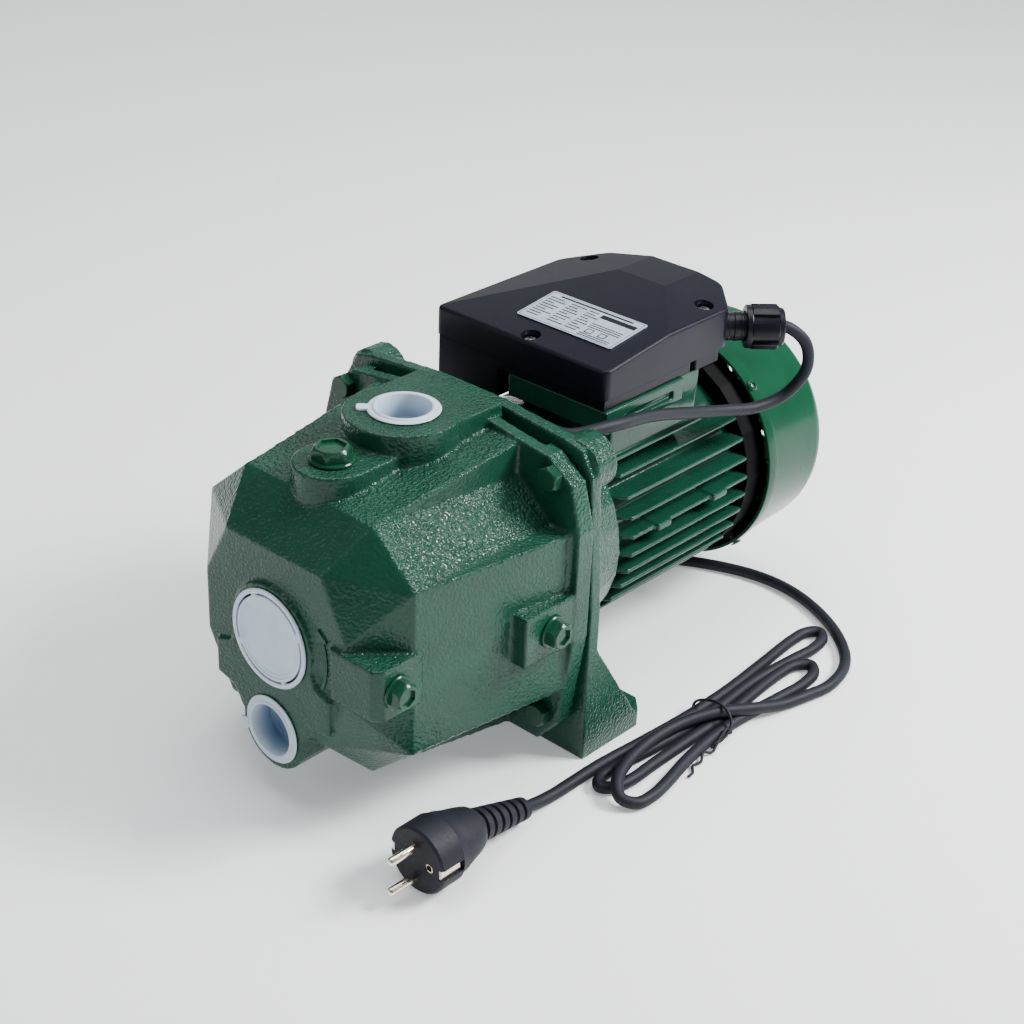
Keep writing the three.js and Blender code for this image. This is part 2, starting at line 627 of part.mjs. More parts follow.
function boxLid() {
  const outside = lidHull(0, 0, BOX.rim);
  const shell = cut(outside, lidHull(BOX.wall, BOX.wall, BOX.rim - 1));
  const posts = LID_SCREWS.map((spot) => barZ(7.2, [BOX.rim + 3, BOX.top], spot).intersect(outside));
  const pockets = LID_SCREWS.map(([x, y]) => barZ(5.7, [lidHeight(x, y) - 5, BOX.top + 9], [x, y]));
  const screwHoles = LID_SCREWS.map((spot) => barZ(2.3, [BOX.rim, BOX.top], spot, 8));
  const notch = GLAND.neckR + 0.5;
  return cut(
    join(shell, posts), pockets, screwHoles,
    onGland(prism(notch, [-5, 3], COARSE)),
    glandBlock([-5, 3], notch, [BOX.rim - 2, GLAND.z]),
  );
}

function boxBase() {
  const inner = BOX.wall + 0.6;
  const lipTop = BOX.rim + 2.6;
  const solid = join(
    plateZ(boxPlan(1.5, BOX.y0 + 1.5, BASE.step), [BASE.floor, BOX.rim - GAP]),
    plateZ(boxPlan(inner), [BOX.rim - 1, lipTop]),
    block([-62.5, -16], [BOX.y0 + 1.5, 150], [BASE.well, BOX.rim - 1]),
    block([38, 60], [128, 150], [BASE.floor - 3, BOX.rim]),
  );
  const hollow = [
    plateZ(boxPlan(inner + 2, BOX.y0 + inner + 2, BASE.step - 2), [BASE.floor + 2, lipTop + 1]),
    plateZ(boxPlan(inner + 2, BASE.step - 20), [BASE.shelf, lipTop + 1]),
    block([-60, -18.5], [BOX.y0 + inner + 2, 147.5], [BASE.well + 2, lipTop + 1]),
  ];
  const posts = LID_SCREWS.map((spot) => barZ(4.5, [BASE.floor + 1, lipTop], spot, 12));
  const glandSeat = glandBlock([-9, -inner - 0.2], 8.5, [BOX.rim - 1, 212]);
  return cut(
    join(cut(solid, hollow), posts, glandSeat),
    LID_SCREWS.map((spot) => barZ(2.2, [BASE.floor + 3, lipTop + 1], spot, 8)),
    block([10, 36], [74, 96], [BASE.floor - 1, BASE.floor + 3]),
    onGland(prism(6.3, [-17, 1], COARSE)),
    onGland(prism(GLAND.neckR + GAP, [-inner - 0.1, 1], COARSE)),
  );
}

addNode("terminal_box_base", boxBase(), blackPlastic());
addNode("terminal_box_lid", boxLid(), blackPlastic());

// ---------------------------------------------------------------- inside and on the terminal box
LID_SCREWS.forEach(([x, y], i) => {
  const seat = lidHeight(x, y) - 5 + GAP;
  const head = cut(
    barZ(4.2, [seat, seat + 2.6], [x, y], 12),
    block([x - 5, x + 5], [y - 0.6, y + 0.6], [seat + 1.6, seat + 4]),
  );
  addNode(`lid_screw_${i + 1}`, join(head, barZ(1.9, [BASE.floor + 6, seat + 1], [x, y], 8)), steel());
});

function ratingLabel() {
  const slope = Math.atan(0.125);
  const [x, y] = [(LABEL.x0 + LABEL.x1) / 2, (LABEL.y0 + LABEL.y1) / 2];
  const plate = new THREE.BoxGeometry(LABEL.x1 - LABEL.x0, LABEL.y1 - LABEL.y0, LABEL.t);
  return toSolid(plate.rotateX(slope).translate(x, y, lidHeight(x, y) + GAP + LABEL.t / 2 + 0.05));
}

addNode("rating_label", ratingLabel(), finish(0xc4c9cf, 0.4, 0.4));
addNode("terminal_block", join(
  block([4, 50], [99, 114], [BASE.floor + 2 + GAP, 202]),
  [12, 27, 42].map((x) => barZ(2.4, [201, 207], [x, 106.5], 8)),
), finish(0xd8d2c0, 0.5));
addNode("capacitor", barY(15, [62, 140], [-39.2, 190.5], INSIDE), finish(0xdadcdf, 0.4));

// ---------------------------------------------------------------- cable gland
const ROUTE_R = CORD_R + GAP;
addNode("gland_body", onGland(cut(
  join(prism(6, [-15, 1], COARSE), prism(GLAND.neckR, [-2.8, 24], COARSE)),
  prism(ROUTE_R + 0.5, [-16, 25], COARSE),
)), blackPlastic());
addNode("gland_seal", onGland(cut(
  prism(8.2, [24.3, 28.2], COARSE),
  prism(ROUTE_R + 0.5, [24, 29], COARSE),
)), rubber());
addNode("gland_nut", onGland(cut(
  prism(GLAND.nutR, [GLAND.neck + GAP, GLAND.reach], 12),
  prism(GLAND.neckR + 0.6, [GLAND.neck, 28.5], COARSE),
  prism(5, [28, GLAND.reach + 1], COARSE),
)), blackPlastic());

// ---------------------------------------------------------------- supply lead
// The lead hangs from the gland, runs along the housing, passes behind the bracket plate over the
// bell and down the far side, and lies on the ground to its hank.
const LEAD = [
  glandLine(23), glandLine(30), glandLine(37), [88, 196, 193], [90, 197, 177], [82, 190, 160],
  [75, 172, 155], [70, 150, 158.5], [68, 125.5, 164.8], [68.6, 78.6, 178.3], [68.8, 42, 184.5],
  [59, 18.5, 184.2], [38, 16.8, 184.6], [20, 17, 184], [-30, 21, 179], [-62, 27, 153],
  [-86, 38, 110], [-93.5, 60, 60], [-93.5, 74, 30], [-90.5, 88, 11.5], [-84, 105, 4.6],
  [-74, 125, 3.7], [-60, 150, 3.6], [-24, 192, 3.6], [12.7, 219, 3.6], [51, 232.7, 3.6],
  [84, 230.8, 3.6], [124, 211.7, 3.6], [148.4, 186.4, 3.6], [155.7, 160, 3.6], [152, 138, 3.6],
  [148.2, 126, 3.6],
];
const TAIL = [[111, -20.8, 3.6], [111, -36, 3.6], [111, -50, 4.8], [111.4, -63.6, 8.1]];
const HANK = {
  z: [0.1, 14.5],
  outline: [
    [108, -12], [112, -20], [147, -20], [152, -12], [151, 4], [142, 40], [140, 80], [142, 112],
    [145, 165], [142, 182], [126, 204], [117, 208], [109, 202], [107.5, 180], [112, 80], [110, 20],
  ],
};

function cordTube(points) {
  const curve = new THREE.CatmullRomCurve3(points.map((p) => new THREE.Vector3(...p)), false, "centripetal");
  const section = new THREE.Shape(angles(8).map((a) =>
    new THREE.Vector2(CORD_R * Math.cos(a), CORD_R * Math.sin(a))));
  const steps = Math.max(4, Math.round(curve.getLength() / (5.4 * CORD_R)));
  return toSolid(new THREE.ExtrudeGeometry(section, { steps, bevelEnabled: false, extrudePath: curve }));
}

function hankTie() {
  const [low, high] = HANK.z;
  const ends = [79, 81.5];
  const arch = block([109.8, 142.4], ends, [low, high + 2.2]);
  return cut(arch, block([111.6, 140.6], [70, 90], [low - 1, high + GAP]));
}

addNode("power_cord", cordTube(LEAD), rubber());
addNode("cord_hank", plateZ(HANK.outline, HANK.z), rubber());
addNode("hank_tie", hankTie(), rubber());
addNode("cord_tail", cordTube(TAIL), rubber());

// ---------------------------------------------------------------- plug
function strainRelief() {
  const ends = [[[PLUG.x, -104, 18.6], 10], [[111.5, -64, 8.2], 6.5]];
  const way = new THREE.Vector3(-1.2, 40, -10.4).normalize();
  const turn = new THREE.Quaternion().setFromUnitVectors(new THREE.Vector3(0, 1, 0), way);
  return hull(ends.flatMap(([centre, radius]) => angles(COARSE).map((angle) => {
    const spoke = new THREE.Vector3(radius * Math.cos(angle), 0, radius * Math.sin(angle));
    return spoke.applyQuaternion(turn).add(new THREE.Vector3(...centre)).toArray();
  })));
}

const onPlug = (solid, dz = 0) => aimed(solid, REARWARD, [PLUG.x, 0, PLUG.z + dz]);
addNode("plug_strain_relief", strainRelief(), rubber());
addNode("plug_body", onPlug(turned([
  [0, PLUG.face], [PLUG.r - 1, PLUG.face], [PLUG.r, PLUG.face + 1], [PLUG.r, -132], [15, -112],
  [11, -107.5], [0, -107.5],
], 24)), rubber());
bothSides((side) => {
  const tip = PLUG.face - PLUG.pinLength;
  const pin = turned([
    [0, tip], [1.2, tip], [PLUG.pinR, tip + 1.6], [PLUG.pinR, PLUG.face - GAP], [0, PLUG.face - GAP],
  ], 12);
  addNode(side > 0 ? "plug_pin_upper" : "plug_pin_lower", onPlug(pin, side * PLUG.pinOffset), nickel());
});

pump.position.y = JOINT_Y;
export default pump;
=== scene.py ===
import json
import math

import bmesh
import bpy
from mathutils import Matrix, Vector


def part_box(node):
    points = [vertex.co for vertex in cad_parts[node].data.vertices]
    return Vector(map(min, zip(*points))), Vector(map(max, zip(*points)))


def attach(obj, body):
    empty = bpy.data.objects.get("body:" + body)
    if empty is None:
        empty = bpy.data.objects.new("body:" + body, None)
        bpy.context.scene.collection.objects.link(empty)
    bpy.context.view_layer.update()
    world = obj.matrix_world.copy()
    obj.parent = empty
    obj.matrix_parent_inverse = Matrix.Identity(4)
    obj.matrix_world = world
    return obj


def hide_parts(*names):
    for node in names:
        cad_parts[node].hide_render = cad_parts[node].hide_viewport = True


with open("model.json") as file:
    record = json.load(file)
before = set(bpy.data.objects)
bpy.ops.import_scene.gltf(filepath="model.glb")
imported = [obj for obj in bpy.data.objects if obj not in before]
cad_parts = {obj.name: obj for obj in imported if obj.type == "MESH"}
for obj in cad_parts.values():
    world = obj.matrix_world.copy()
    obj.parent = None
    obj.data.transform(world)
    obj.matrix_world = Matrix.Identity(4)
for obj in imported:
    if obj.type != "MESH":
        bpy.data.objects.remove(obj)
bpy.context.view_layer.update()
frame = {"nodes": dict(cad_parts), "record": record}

# ---------------------------------------------------------------- driving values
# Lengths are in millimetres, and y is measured from the joint of casing and bracket.
MM = 0.001
JOINT_Y = -56.5  # from the origin
SHAFT_Z = 100
FACE_Y = -143  # the face of the suction and drive ports
DISCHARGE_Z = 200  # the face of the discharge port
CORD_D = 7.1
GLAND = Vector((53.25, 161.25, 203))
GLAND_WAY = Vector((1, 1, 0)).normalized()
PLUG = {"x": 112.7, "z": 20, "face": -147, "r": 19.2}
LABEL = {"x": (-20, 49), "y": (63, 96)}


def at(x, y, z):
    """A point in metres, from millimetres with y measured from the casing joint."""
    return Vector((x * MM, (y + JOINT_Y) * MM, z * MM))


# ---------------------------------------------------------------- camera
CAMERA_AT = (657.12, -703.57, 650.21)
CAMERA_TURN = math.radians(43.2)
CAMERA_DIP = math.radians(28.86)
CAMERA_ROLL = math.radians(1.42)
LENS = 68.6
SENSOR = 36
SHIFT = (0.0545, 0.0011)
CLIP = (0.05, 50)


def make_camera():
    turn, dip, roll = CAMERA_TURN, CAMERA_DIP, CAMERA_ROLL
    right = Vector((math.cos(turn), math.sin(turn), 0))
    back = Vector((math.sin(turn) * math.cos(dip), -math.cos(turn) * math.cos(dip), math.sin(dip)))
    up = back.cross(right)
    axes = (
        right * math.cos(roll) + up * math.sin(roll),
        up * math.cos(roll) - right * math.sin(roll),
        back,
    )
    data = bpy.data.cameras.new("camera")
    data.lens = LENS
    data.sensor_width = SENSOR
    data.shift_x, data.shift_y = SHIFT
    data.clip_start, data.clip_end = CLIP
    camera = bpy.data.objects.new("camera", data)
    camera.matrix_world = Matrix.Translation(at(*CAMERA_AT)) @ Matrix(axes).transposed().to_4x4()
    bpy.context.collection.objects.link(camera)
    bpy.context.scene.camera = camera


make_camera()


# ---------------------------------------------------------------- materials
class Finish:
    """A Principled material with a short way to add nodes. Textures use object coordinates, in metres."""

    def __init__(self, name, color, roughness, metallic=0.0, **fixed):
        self.material = bpy.data.materials.new(name)
        self.material.use_nodes = True
        self.tree = self.material.node_tree
        self.shader = self.tree.nodes["Principled BSDF"]
        self.coordinates = self.tree.nodes.new("ShaderNodeTexCoord").outputs["Object"]
        basic = {"Base Color": (*color, 1), "Roughness": roughness, "Metallic": metallic}
        self.set(self.shader, basic | {key.replace("_", " "): value for key, value in fixed.items()})

    def set(self, node, values):
        for socket, value in values.items():
            if isinstance(value, bpy.types.NodeSocket):
                self.tree.links.new(value, node.inputs[socket])
            else:
                node.inputs[socket].default_value = value

    def node(self, kind, values=(), **settings):
        made = self.tree.nodes.new("ShaderNode" + kind)
        for key, value in settings.items():
            setattr(made, key, value)
        self.set(made, dict(values))
        return made

    def noise(self, scale, detail=2.0, roughness=0.5):
        """Noise with cells of about 1 / scale metres."""
        values = {"Vector": self.coordinates, "Scale": scale, "Detail": detail, "Roughness": roughness}
        return self.node("TexNoise", values).outputs["Fac"]

    def ramp(self, value, low, high, to_low=0.0, to_high=1.0):
        """A value spread from one range to another, and held at its ends."""
        values = {"Value": value, "From Min": low, "From Max": high, "To Min": to_low, "To Max": to_high}
        return self.node("MapRange", values).outputs["Result"]

    def math(self, operation, a, b):
        made = self.node("Math", operation=operation)
        self.set(made, {0: a, 1: b})
        return made.outputs[0]

    def tint(self, factor, color_a, color_b):
        """A colour between two others. The Mix node's colour sockets are 6 and 7 in and 2 out."""
        made = self.node("Mix", data_type="RGBA")
        self.set(made, {0: factor, 6: (*color_a, 1), 7: (*color_b, 1)})
        return made.outputs[2]

    def mottled(self, factor, color, spread):
        """A colour made darker and lighter by a share of itself."""
        return self.tint(factor, *(tuple(level * c for c in color) for level in (1 - spread, 1 + spread)))

    def bump(self, height, distance, strength=1.0, under=None):
        values = {"Height": height, "Distance": distance, "Strength": strength}
        if under is not None:
            values["Normal"] = under
        return self.node("Bump", values).outputs["Normal"]

    def facing(self, direction, low, high):
        """1 where the surface faces a direction, 0 where it turns away from it."""
        normal = self.node("NewGeometry").outputs["Normal"]
        made = self.node("VectorMath", operation="DOT_PRODUCT")
        self.set(made, {0: normal, 1: Vector(direction).normalized()})
        return self.ramp(made.outputs["Value"], low, high)


MIDDLE = (0.3, 0.7)  # the range that most of a noise lies in
COAT_ROUGHNESS = 0.04
PEEL_STRENGTH = 0.45
LUMP_STRENGTH = 0.3


def enamel(name, color, peel, roughness=0.2, specular=0.18, rough_faces=()):
    """Glossy enamel. peel is the depth of its orange peel in metres, and rough_faces are the directions,
    with the limits of their dot product, in which a casting is hammered more deeply."""
    made = Finish(name, color, roughness, Specular_IOR_Level=specular, Coat_Weight=specular,
                  Coat_Roughness=COAT_ROUGHNESS)
    painted = made.mottled(made.ramp(made.noise(38, 3), *MIDDLE), color, 0.15)
    fine = made.noise(560, 1.5)
    lumps = made.noise(150, 2)
    strength = PEEL_STRENGTH
    for direction, low, high in rough_faces:
        strength = made.math("ADD", strength, made.facing(direction, low, high))
    under = made.bump(lumps, peel, LUMP_STRENGTH)
    normal = made.bump(made.ramp(fine, *MIDDLE), peel, strength, under)
    made.set(made.shader, {"Base Color": painted, "Normal": normal, "Coat Normal": normal})
    return made.material


def metal(name, color, roughness, scratch=420):
    """Turned or plated metal with fine marks."""
    made = Finish(name, color, roughness, 1.0)
    marks = made.noise(scratch, 4)
    made.set(made.shader, {
        "Roughness": made.ramp(marks, *MIDDLE, roughness - 0.08, roughness + 0.12),
        "Normal": made.bump(marks, 0.00004, 0.4),
    })
    return made.material


def plastic(name, color, roughness, grain=1500, depth=0.00003, **fixed):
    """Moulded plastic, rubber or paint with a fine grain, whose depth is in metres."""
    made = Finish(name, color, roughness, **fixed)
    texture = made.noise(grain, 2)
    made.set(made.shader, {
        "Base Color": made.mottled(made.ramp(made.noise(60, 2), *MIDDLE), color, 0.12),
        "Roughness": made.ramp(texture, *MIDDLE, roughness - 0.05, roughness + 0.07),
        "Normal": made.bump(texture, depth, 0.6),
    })
    return made.material


GREEN = (0.006, 0.049, 0.029)
# The deeply hammered faces of the castings: the slope to the right of the top, and the top.
HAMMERED = (((0.62, -0.1, 0.78), 0.86, 0.95), ((-0.1, -0.1, 0.98), 0.97, 0.99))
cast_green = enamel("cast_green_enamel", GREEN, 0.0005, rough_faces=HAMMERED)
housing_green = enamel("housing_green_enamel", GREEN, 0.0001)
cover_green = enamel("cover_green_enamel", (0.006, 0.052, 0.026), 0.00003, 0.16, 0.07)
fastener_green = enamel("fastener_green_enamel", (0.006, 0.048, 0.025), 0.0001)
# Painted shade: black_paint is a near-black, dull finish for the end shield ring, standing in for the shade
# it sits in between the fins and the fan cover.
black_paint = plastic("black_paint", (0.0012, 0.0013, 0.0018), 0.6, 900, 0.00003, Specular_IOR_Level=0.08)
iron = metal("machined_iron", (0.2, 0.2, 0.205), 0.5)
steel = metal("turned_steel", (0.42, 0.43, 0.45), 0.3)
brass = metal("turned_brass", (0.72, 0.52, 0.26), 0.3)
copper = metal("varnished_copper", (0.55, 0.24, 0.12), 0.4, 1400)
nickel = metal("nickel_plate", (0.8, 0.72, 0.58), 0.16)
rubber = plastic("black_rubber", (0.008, 0.009, 0.015), 0.58, 900, 0.00002, Specular_IOR_Level=0.25)
box_black = plastic("box_blue_black", (0.004, 0.0045, 0.010), 0.34, 1900, 0.00005, Specular_IOR_Level=0.16)
satin_black = plastic("satin_black", (0.005, 0.0055, 0.010), 0.3, Specular_IOR_Level=0.22)
white = plastic("off_white", (0.72, 0.7, 0.64), 0.45)


def cap_material():
    """Cloudy polyethylene that lets some light through."""
    made = Finish("cap_polyethylene", (0.60, 0.71, 0.82), 0.34, Subsurface_Weight=0.6,
                  Subsurface_Scale=0.004, Transmission_Weight=0.12, IOR=1.5)
    cloud = made.noise(70, 3)
    made.set(made.shader, {
        "Base Color": made.tint(made.ramp(cloud, *MIDDLE), (0.55, 0.67, 0.8), (0.68, 0.77, 0.86)),
        "Normal": made.bump(made.noise(500, 2), 0.00003, 0.4),
    })
    return made.material


clear_cap = cap_material()
# Painted shade inside the cups: the depth, in millimetres, at which it is darkest.
CUP_DEPTH = 11  # where a cup is darkest


def cup_material(name, axis, inward, painted_shade_color):
    """The caps' translucent plastic where it is a cup, with painted shade: its colour darkens towards
    painted_shade_color the deeper it goes into the cup, and some light comes through it.
    """
    made = Finish(name, (0.6, 0.71, 0.82), 0.3, Subsurface_Weight=0.4, Subsurface_Scale=0.003,
                  Transmission_Weight=0.2, IOR=1.5)
    split = made.node("SeparateXYZ", {"Vector": made.coordinates})
    rim = at(0, FACE_Y, DISCHARGE_Z)["XYZ".index(axis)]
    depth = made.ramp(split.outputs[axis], rim, rim + inward * CUP_DEPTH * MM)
    cloud = made.ramp(made.noise(80, 2), 0.2, 0.8, -0.12, 0.12)
    made.set(made.shader, {
        # Painted shade: the base colour darkens with depth into the cup, with a little random cloud on top.
        "Base Color": made.tint(made.math("ADD", depth, cloud), (0.62, 0.73, 0.83), painted_shade_color),
        "Normal": made.bump(made.noise(500, 2), 0.00003, 0.4),
    })
    return made.material


def foil_material():
    """Satin aluminium foil with faint stains."""
    made = Finish("label_foil", (0.4, 0.46, 0.56), 0.4, 0.25)
    stains = made.ramp(made.noise(120, 4), 0.35, 0.7)
    made.set(made.shader, {
        "Base Color": made.tint(stains, (0.36, 0.41, 0.5), (0.45, 0.51, 0.61)),
        "Roughness": made.ramp(made.noise(300), *MIDDLE, 0.32, 0.5),
    })
    return made.material


label_foil = foil_material()
SLOT_MATERIALS = {
    "cast_green": cast_green, "cover_green": cover_green, "bare_iron": iron, "steel": steel,
    "zinc": fastener_green, "brass": brass, "copper": copper, "black_rubber": rubber,
    # The black_paint slot, the end shield ring, gets painted shade.
    "clear_cap": clear_cap, "box_plastic": box_black, "black_paint": black_paint, "white_plastic": white,
    "black_plastic": satin_black, "nickel": nickel, "label_foil": label_foil,
}
for part in frame["record"]["subparts"]:
    mesh = frame["nodes"][part["node"]].data
    mesh.materials.clear()
    mesh.materials.append(SLOT_MATERIALS[part["material_slot"]])


# ---------------------------------------------------------------- mesh helpers
def to_object(name, mesh, material):
    """A mesh as an object of one material."""
    mesh.materials.clear()
    mesh.materials.append(material)
    made = bpy.data.objects.new(name, mesh)
    bpy.context.collection.objects.link(made)
    return made


def angle_at(edge):
    """The angle between an edge's two faces, or nothing for an open edge."""
    return edge.calc_face_angle(0) if len(edge.link_faces) == 2 else 0


def shade(bm, sharp):
    """Makes a bmesh smooth except where its faces meet at more than an angle, in degrees."""
    for face in bm.faces:
        face.smooth = True
    for edge in bm.edges:
        edge.smooth = angle_at(edge) <= math.radians(sharp)


def finished(name, bm, material, sharp=35):
    """Turns a bmesh into an object that is smooth except at its sharp edges."""
    bmesh.ops.recalc_face_normals(bm, faces=bm.faces)
    shade(bm, sharp)
    mesh = bpy.data.meshes.new(name)
    bm.to_mesh(mesh)
    bm.free()
    return to_object(name, mesh, material)


def place_piece(made, body, slot, *nodes):
    """Puts a piece on a body in place of its CAD nodes."""
    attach(made, body)
    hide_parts(*nodes)
    return made


def evaluated(made):
    """Applies an object's modifiers to its mesh."""
    mesh = bpy.data.meshes.new_from_object(made.evaluated_get(bpy.context.evaluated_depsgraph_get()))
    made.modifiers.clear()
    made.data = mesh
    return made


SKIN_SCALE = 4


def casting(name, node, material, voxel, rounds, unevenness=0.1):
    """A CAD solid remade as a casting: even faces a voxel wide, edges smoothed in some rounds, and a
    slightly uneven skin."""
    bm = bmesh.new()
    bm.from_mesh(frame["nodes"][node].data)
    mesh = bpy.data.meshes.new(name)
    bm.to_mesh(mesh)
    bm.free()
    made = to_object(name, mesh, material)
    remesh = made.modifiers.new("remesh", "REMESH")
    remesh.mode = "VOXEL"
    remesh.voxel_size = voxel * MM
    remesh.use_smooth_shade = True
    smooth = made.modifiers.new("round", "SMOOTH")
    smooth.factor = 0.5
    smooth.iterations = rounds
    skin = bpy.data.textures.new(name, "CLOUDS")
    skin.noise_scale = SKIN_SCALE * MM
    uneven = made.modifiers.new("uneven", "DISPLACE")
    uneven.texture = skin
    uneven.texture_coords = "GLOBAL"
    uneven.strength = unevenness * MM
    uneven.mid_level = 0.5
    evaluated(made)
    for polygon in made.data.polygons:
        polygon.use_smooth = True
    return made


def lathe(profile, origin, direction, segments=96, up=(0, 0, 1)):
    """A closed turned mesh. The profile is (radius, distance along the axis), in millimetres, and either
    may be a function of the angle from up."""
    axis = Vector(direction).normalized()
    first = (Vector(up) - axis * axis.dot(Vector(up))).normalized()
    second = axis.cross(first)
    bm = bmesh.new()
    rows = []
    for radius, along in profile:
        row = []
        for i in range(1 if radius == 0 else segments):
            angle = 2 * math.pi * i / segments
            r = radius(angle) if callable(radius) else radius
            t = along(angle) if callable(along) else along
            place = Vector(origin) + axis * t + (first * math.cos(angle) + second * math.sin(angle)) * r
            row.append(bm.verts.new(at(*place)))
        rows.append(row)
    for low, high in zip(rows, rows[1:]):
        for i in range(segments if len(low) + len(high) > 2 else 0):
            j = (i + 1) % segments
            ring = [low[i % len(low)], low[j % len(low)], high[j % len(high)], high[i % len(high)]]
            bm.faces.new([v for k, v in enumerate(ring) if v not in ring[:k]])
    if len(rows[0]) > 1:
        bmesh.ops.remove_doubles(bm, verts=rows[0] + rows[-1], dist=1e-7)
    return bm


def rounded(bm, width, segments=2, over=28):
    """Bevels a bmesh's sharp edges, by a width in millimetres."""
    sharp = [e for e in bm.edges if angle_at(e) > math.radians(over)]
    bmesh.ops.bevel(bm, geom=sharp, offset=width * MM, offset_type="OFFSET", segments=segments,
                    profile=0.6, affect="EDGES", clamp_overlap=True)
    return bm


def loft(rings):
    """A closed mesh through rings of the same number of points, given in millimetres."""
    bm = bmesh.new()
    rows = [[bm.verts.new(at(*p)) for p in ring] for ring in rings]
    count = len(rings[0])
    for low, high in zip(rows, rows[1:]):
        for i in range(count):
            bm.faces.new([low[i], low[(i + 1) % count], high[(i + 1) % count], high[i]])
    bm.faces.new(rows[0][::-1])
    bm.faces.new(rows[-1])
    return bm


def merged(*parts):
    """Several bmeshes as one."""
    whole = bmesh.new()
    for part in parts:
        mesh = bpy.data.meshes.new("part")
        part.to_mesh(mesh)
        part.free()
        whole.from_mesh(mesh)
        bpy.data.meshes.remove(mesh)
    return whole


def boxed(x, y, z):
    """A block between two places on each axis, in millimetres."""
    rings = [[(x[0], y[0], h), (x[1], y[0], h), (x[1], y[1], h), (x[0], y[1], h)] for h in z]
    return loft(rings)


def cut_by(made, cutter):
    """Cuts one object by a bmesh."""
    mesh = bpy.data.meshes.new("cutter")
    bmesh.ops.recalc_face_normals(cutter, faces=cutter.faces)
    cutter.to_mesh(mesh)
    cutter.free()
    tool = bpy.data.objects.new("cutter", mesh)
    bpy.context.collection.objects.link(tool)
    boolean = made.modifiers.new("cut", "BOOLEAN")
    boolean.operation = "DIFFERENCE"
    boolean.solver = "EXACT"
    boolean.object = tool
    material = made.data.materials[0]
    evaluated(made)
    made.data.materials.clear()
    made.data.materials.append(material)
    bpy.data.objects.remove(tool)
    return made


def smooth_by_angle(made, sharp):
    """Shades an object's mesh again after it has been cut."""
    bm = bmesh.new()
    bm.from_mesh(made.data)
    shade(bm, sharp)
    bm.to_mesh(made.data)
    bm.free()
    return made


# ---------------------------------------------------------------- supply lead
# Out of the gland, a hanging loop, along the housing, behind the bracket plate over the bell, down the
# far side, and over the ground to the hank.
LEAD = [
    (69.5, 177.5, 203), (74.5, 182.5, 203), (79.4, 187.4, 203), (88, 196, 193), (90, 197, 177),
    (82, 190, 160), (75, 172, 155), (70, 150, 158.5), (68, 125.5, 164.8), (68.6, 78.6, 178.3),
    (68.8, 42, 184.5), (59, 18.5, 184.2), (38, 16.8, 184.6), (20, 17, 184), (-30, 21, 179),
    (-62, 27, 153), (-86, 38, 110), (-93.5, 60, 60), (-93.5, 74, 30), (-90.5, 88, 11.5),
    (-84, 105, 4.6), (-74, 125, 3.7), (-60, 150, 3.6), (-24, 192, 3.6), (12.7, 219, 3.6),
    (51, 232.7, 3.6), (84, 230.8, 3.6), (124, 211.7, 3.6), (148.4, 186.4, 3.6), (155.7, 160, 3.6),
    (152, 138, 3.6), (147.5, 120, 4.2),
]
HANK = [
    (141, 99, 8.5), (131.5, 79, 10.8), (125, 60, 10.8), (122.5, 40, 10.8), (123.5, 20, 10.8),
    (127, 2, 10.6), (133, -12, 9.5), (141, -18, 6.2), (148, -13, 4), (149.6, -1, 3.6),
    (147.6, 14, 3.6), (143.5, 33, 3.6), (140.2, 55, 3.6), (138.8, 80, 3.6), (139.8, 100, 3.6),
    (142.2, 125, 3.6), (144, 148, 3.6), (141.5, 163, 3.6), (135, 169, 3.6), (128.6, 162, 3.6),
    (127.3, 148, 3.6), (128.5, 125, 3.6), (130.6, 100, 3.6), (131.3, 78, 3.6), (131.4, 50, 3.6),
    (131.8, 20, 3.6), (132.3, 2, 3.6), (129.5, -11, 3.6), (124, -15.5, 3.6), (119.4, -10, 3.6),
    (118.8, 4, 3.6), (121.6, 30, 3.6), (123.6, 60, 3.6), (123.7, 90, 3.6), (121.5, 130, 3.6),
    (123.8, 165, 3.6), (125.6, 186, 3.6), (123, 199, 3.6), (117, 204, 3.6), (111.8, 198, 3.6),
    (110.8, 184, 3.6), (113.5, 150, 3.6), (116.3, 110, 3.6), (116.4, 75, 3.6), (114, 35, 3.6),
    (111.2, 0, 3.6),
]
TAIL = [(111, -20.8, 3.6), (111, -36, 3.6), (111, -50, 4.8), (111.4, -63.6, 8.1), (111.8, -76, 11.4)]


def through(points, fine=10):
    """A smooth line through points: a centripetal Catmull-Rom curve."""
    line = [2 * Vector(points[0]) - Vector(points[1]), *map(Vector, points),
            2 * Vector(points[-1]) - Vector(points[-2])]
    made = []
    for p0, p1, p2, p3 in zip(line, line[1:], line[2:], line[3:]):
        t1 = (p1 - p0).length ** 0.5
        t2 = t1 + (p2 - p1).length ** 0.5
        t3 = t2 + (p3 - p2).length ** 0.5
        for k in range(fine):
            t = t1 + (t2 - t1) * k / fine
            a1 = p0.lerp(p1, t / t1)
            a2 = p1.lerp(p2, (t - t1) / (t2 - t1))
            a3 = p2.lerp(p3, (t - t2) / (t3 - t2))
            b1 = a1.lerp(a2, t / t2)
            b2 = a2.lerp(a3, (t - t1) / (t3 - t1))
            made.append(b1.lerp(b2, (t - t1) / (t2 - t1)))
    return [*made, Vector(points[-1])]


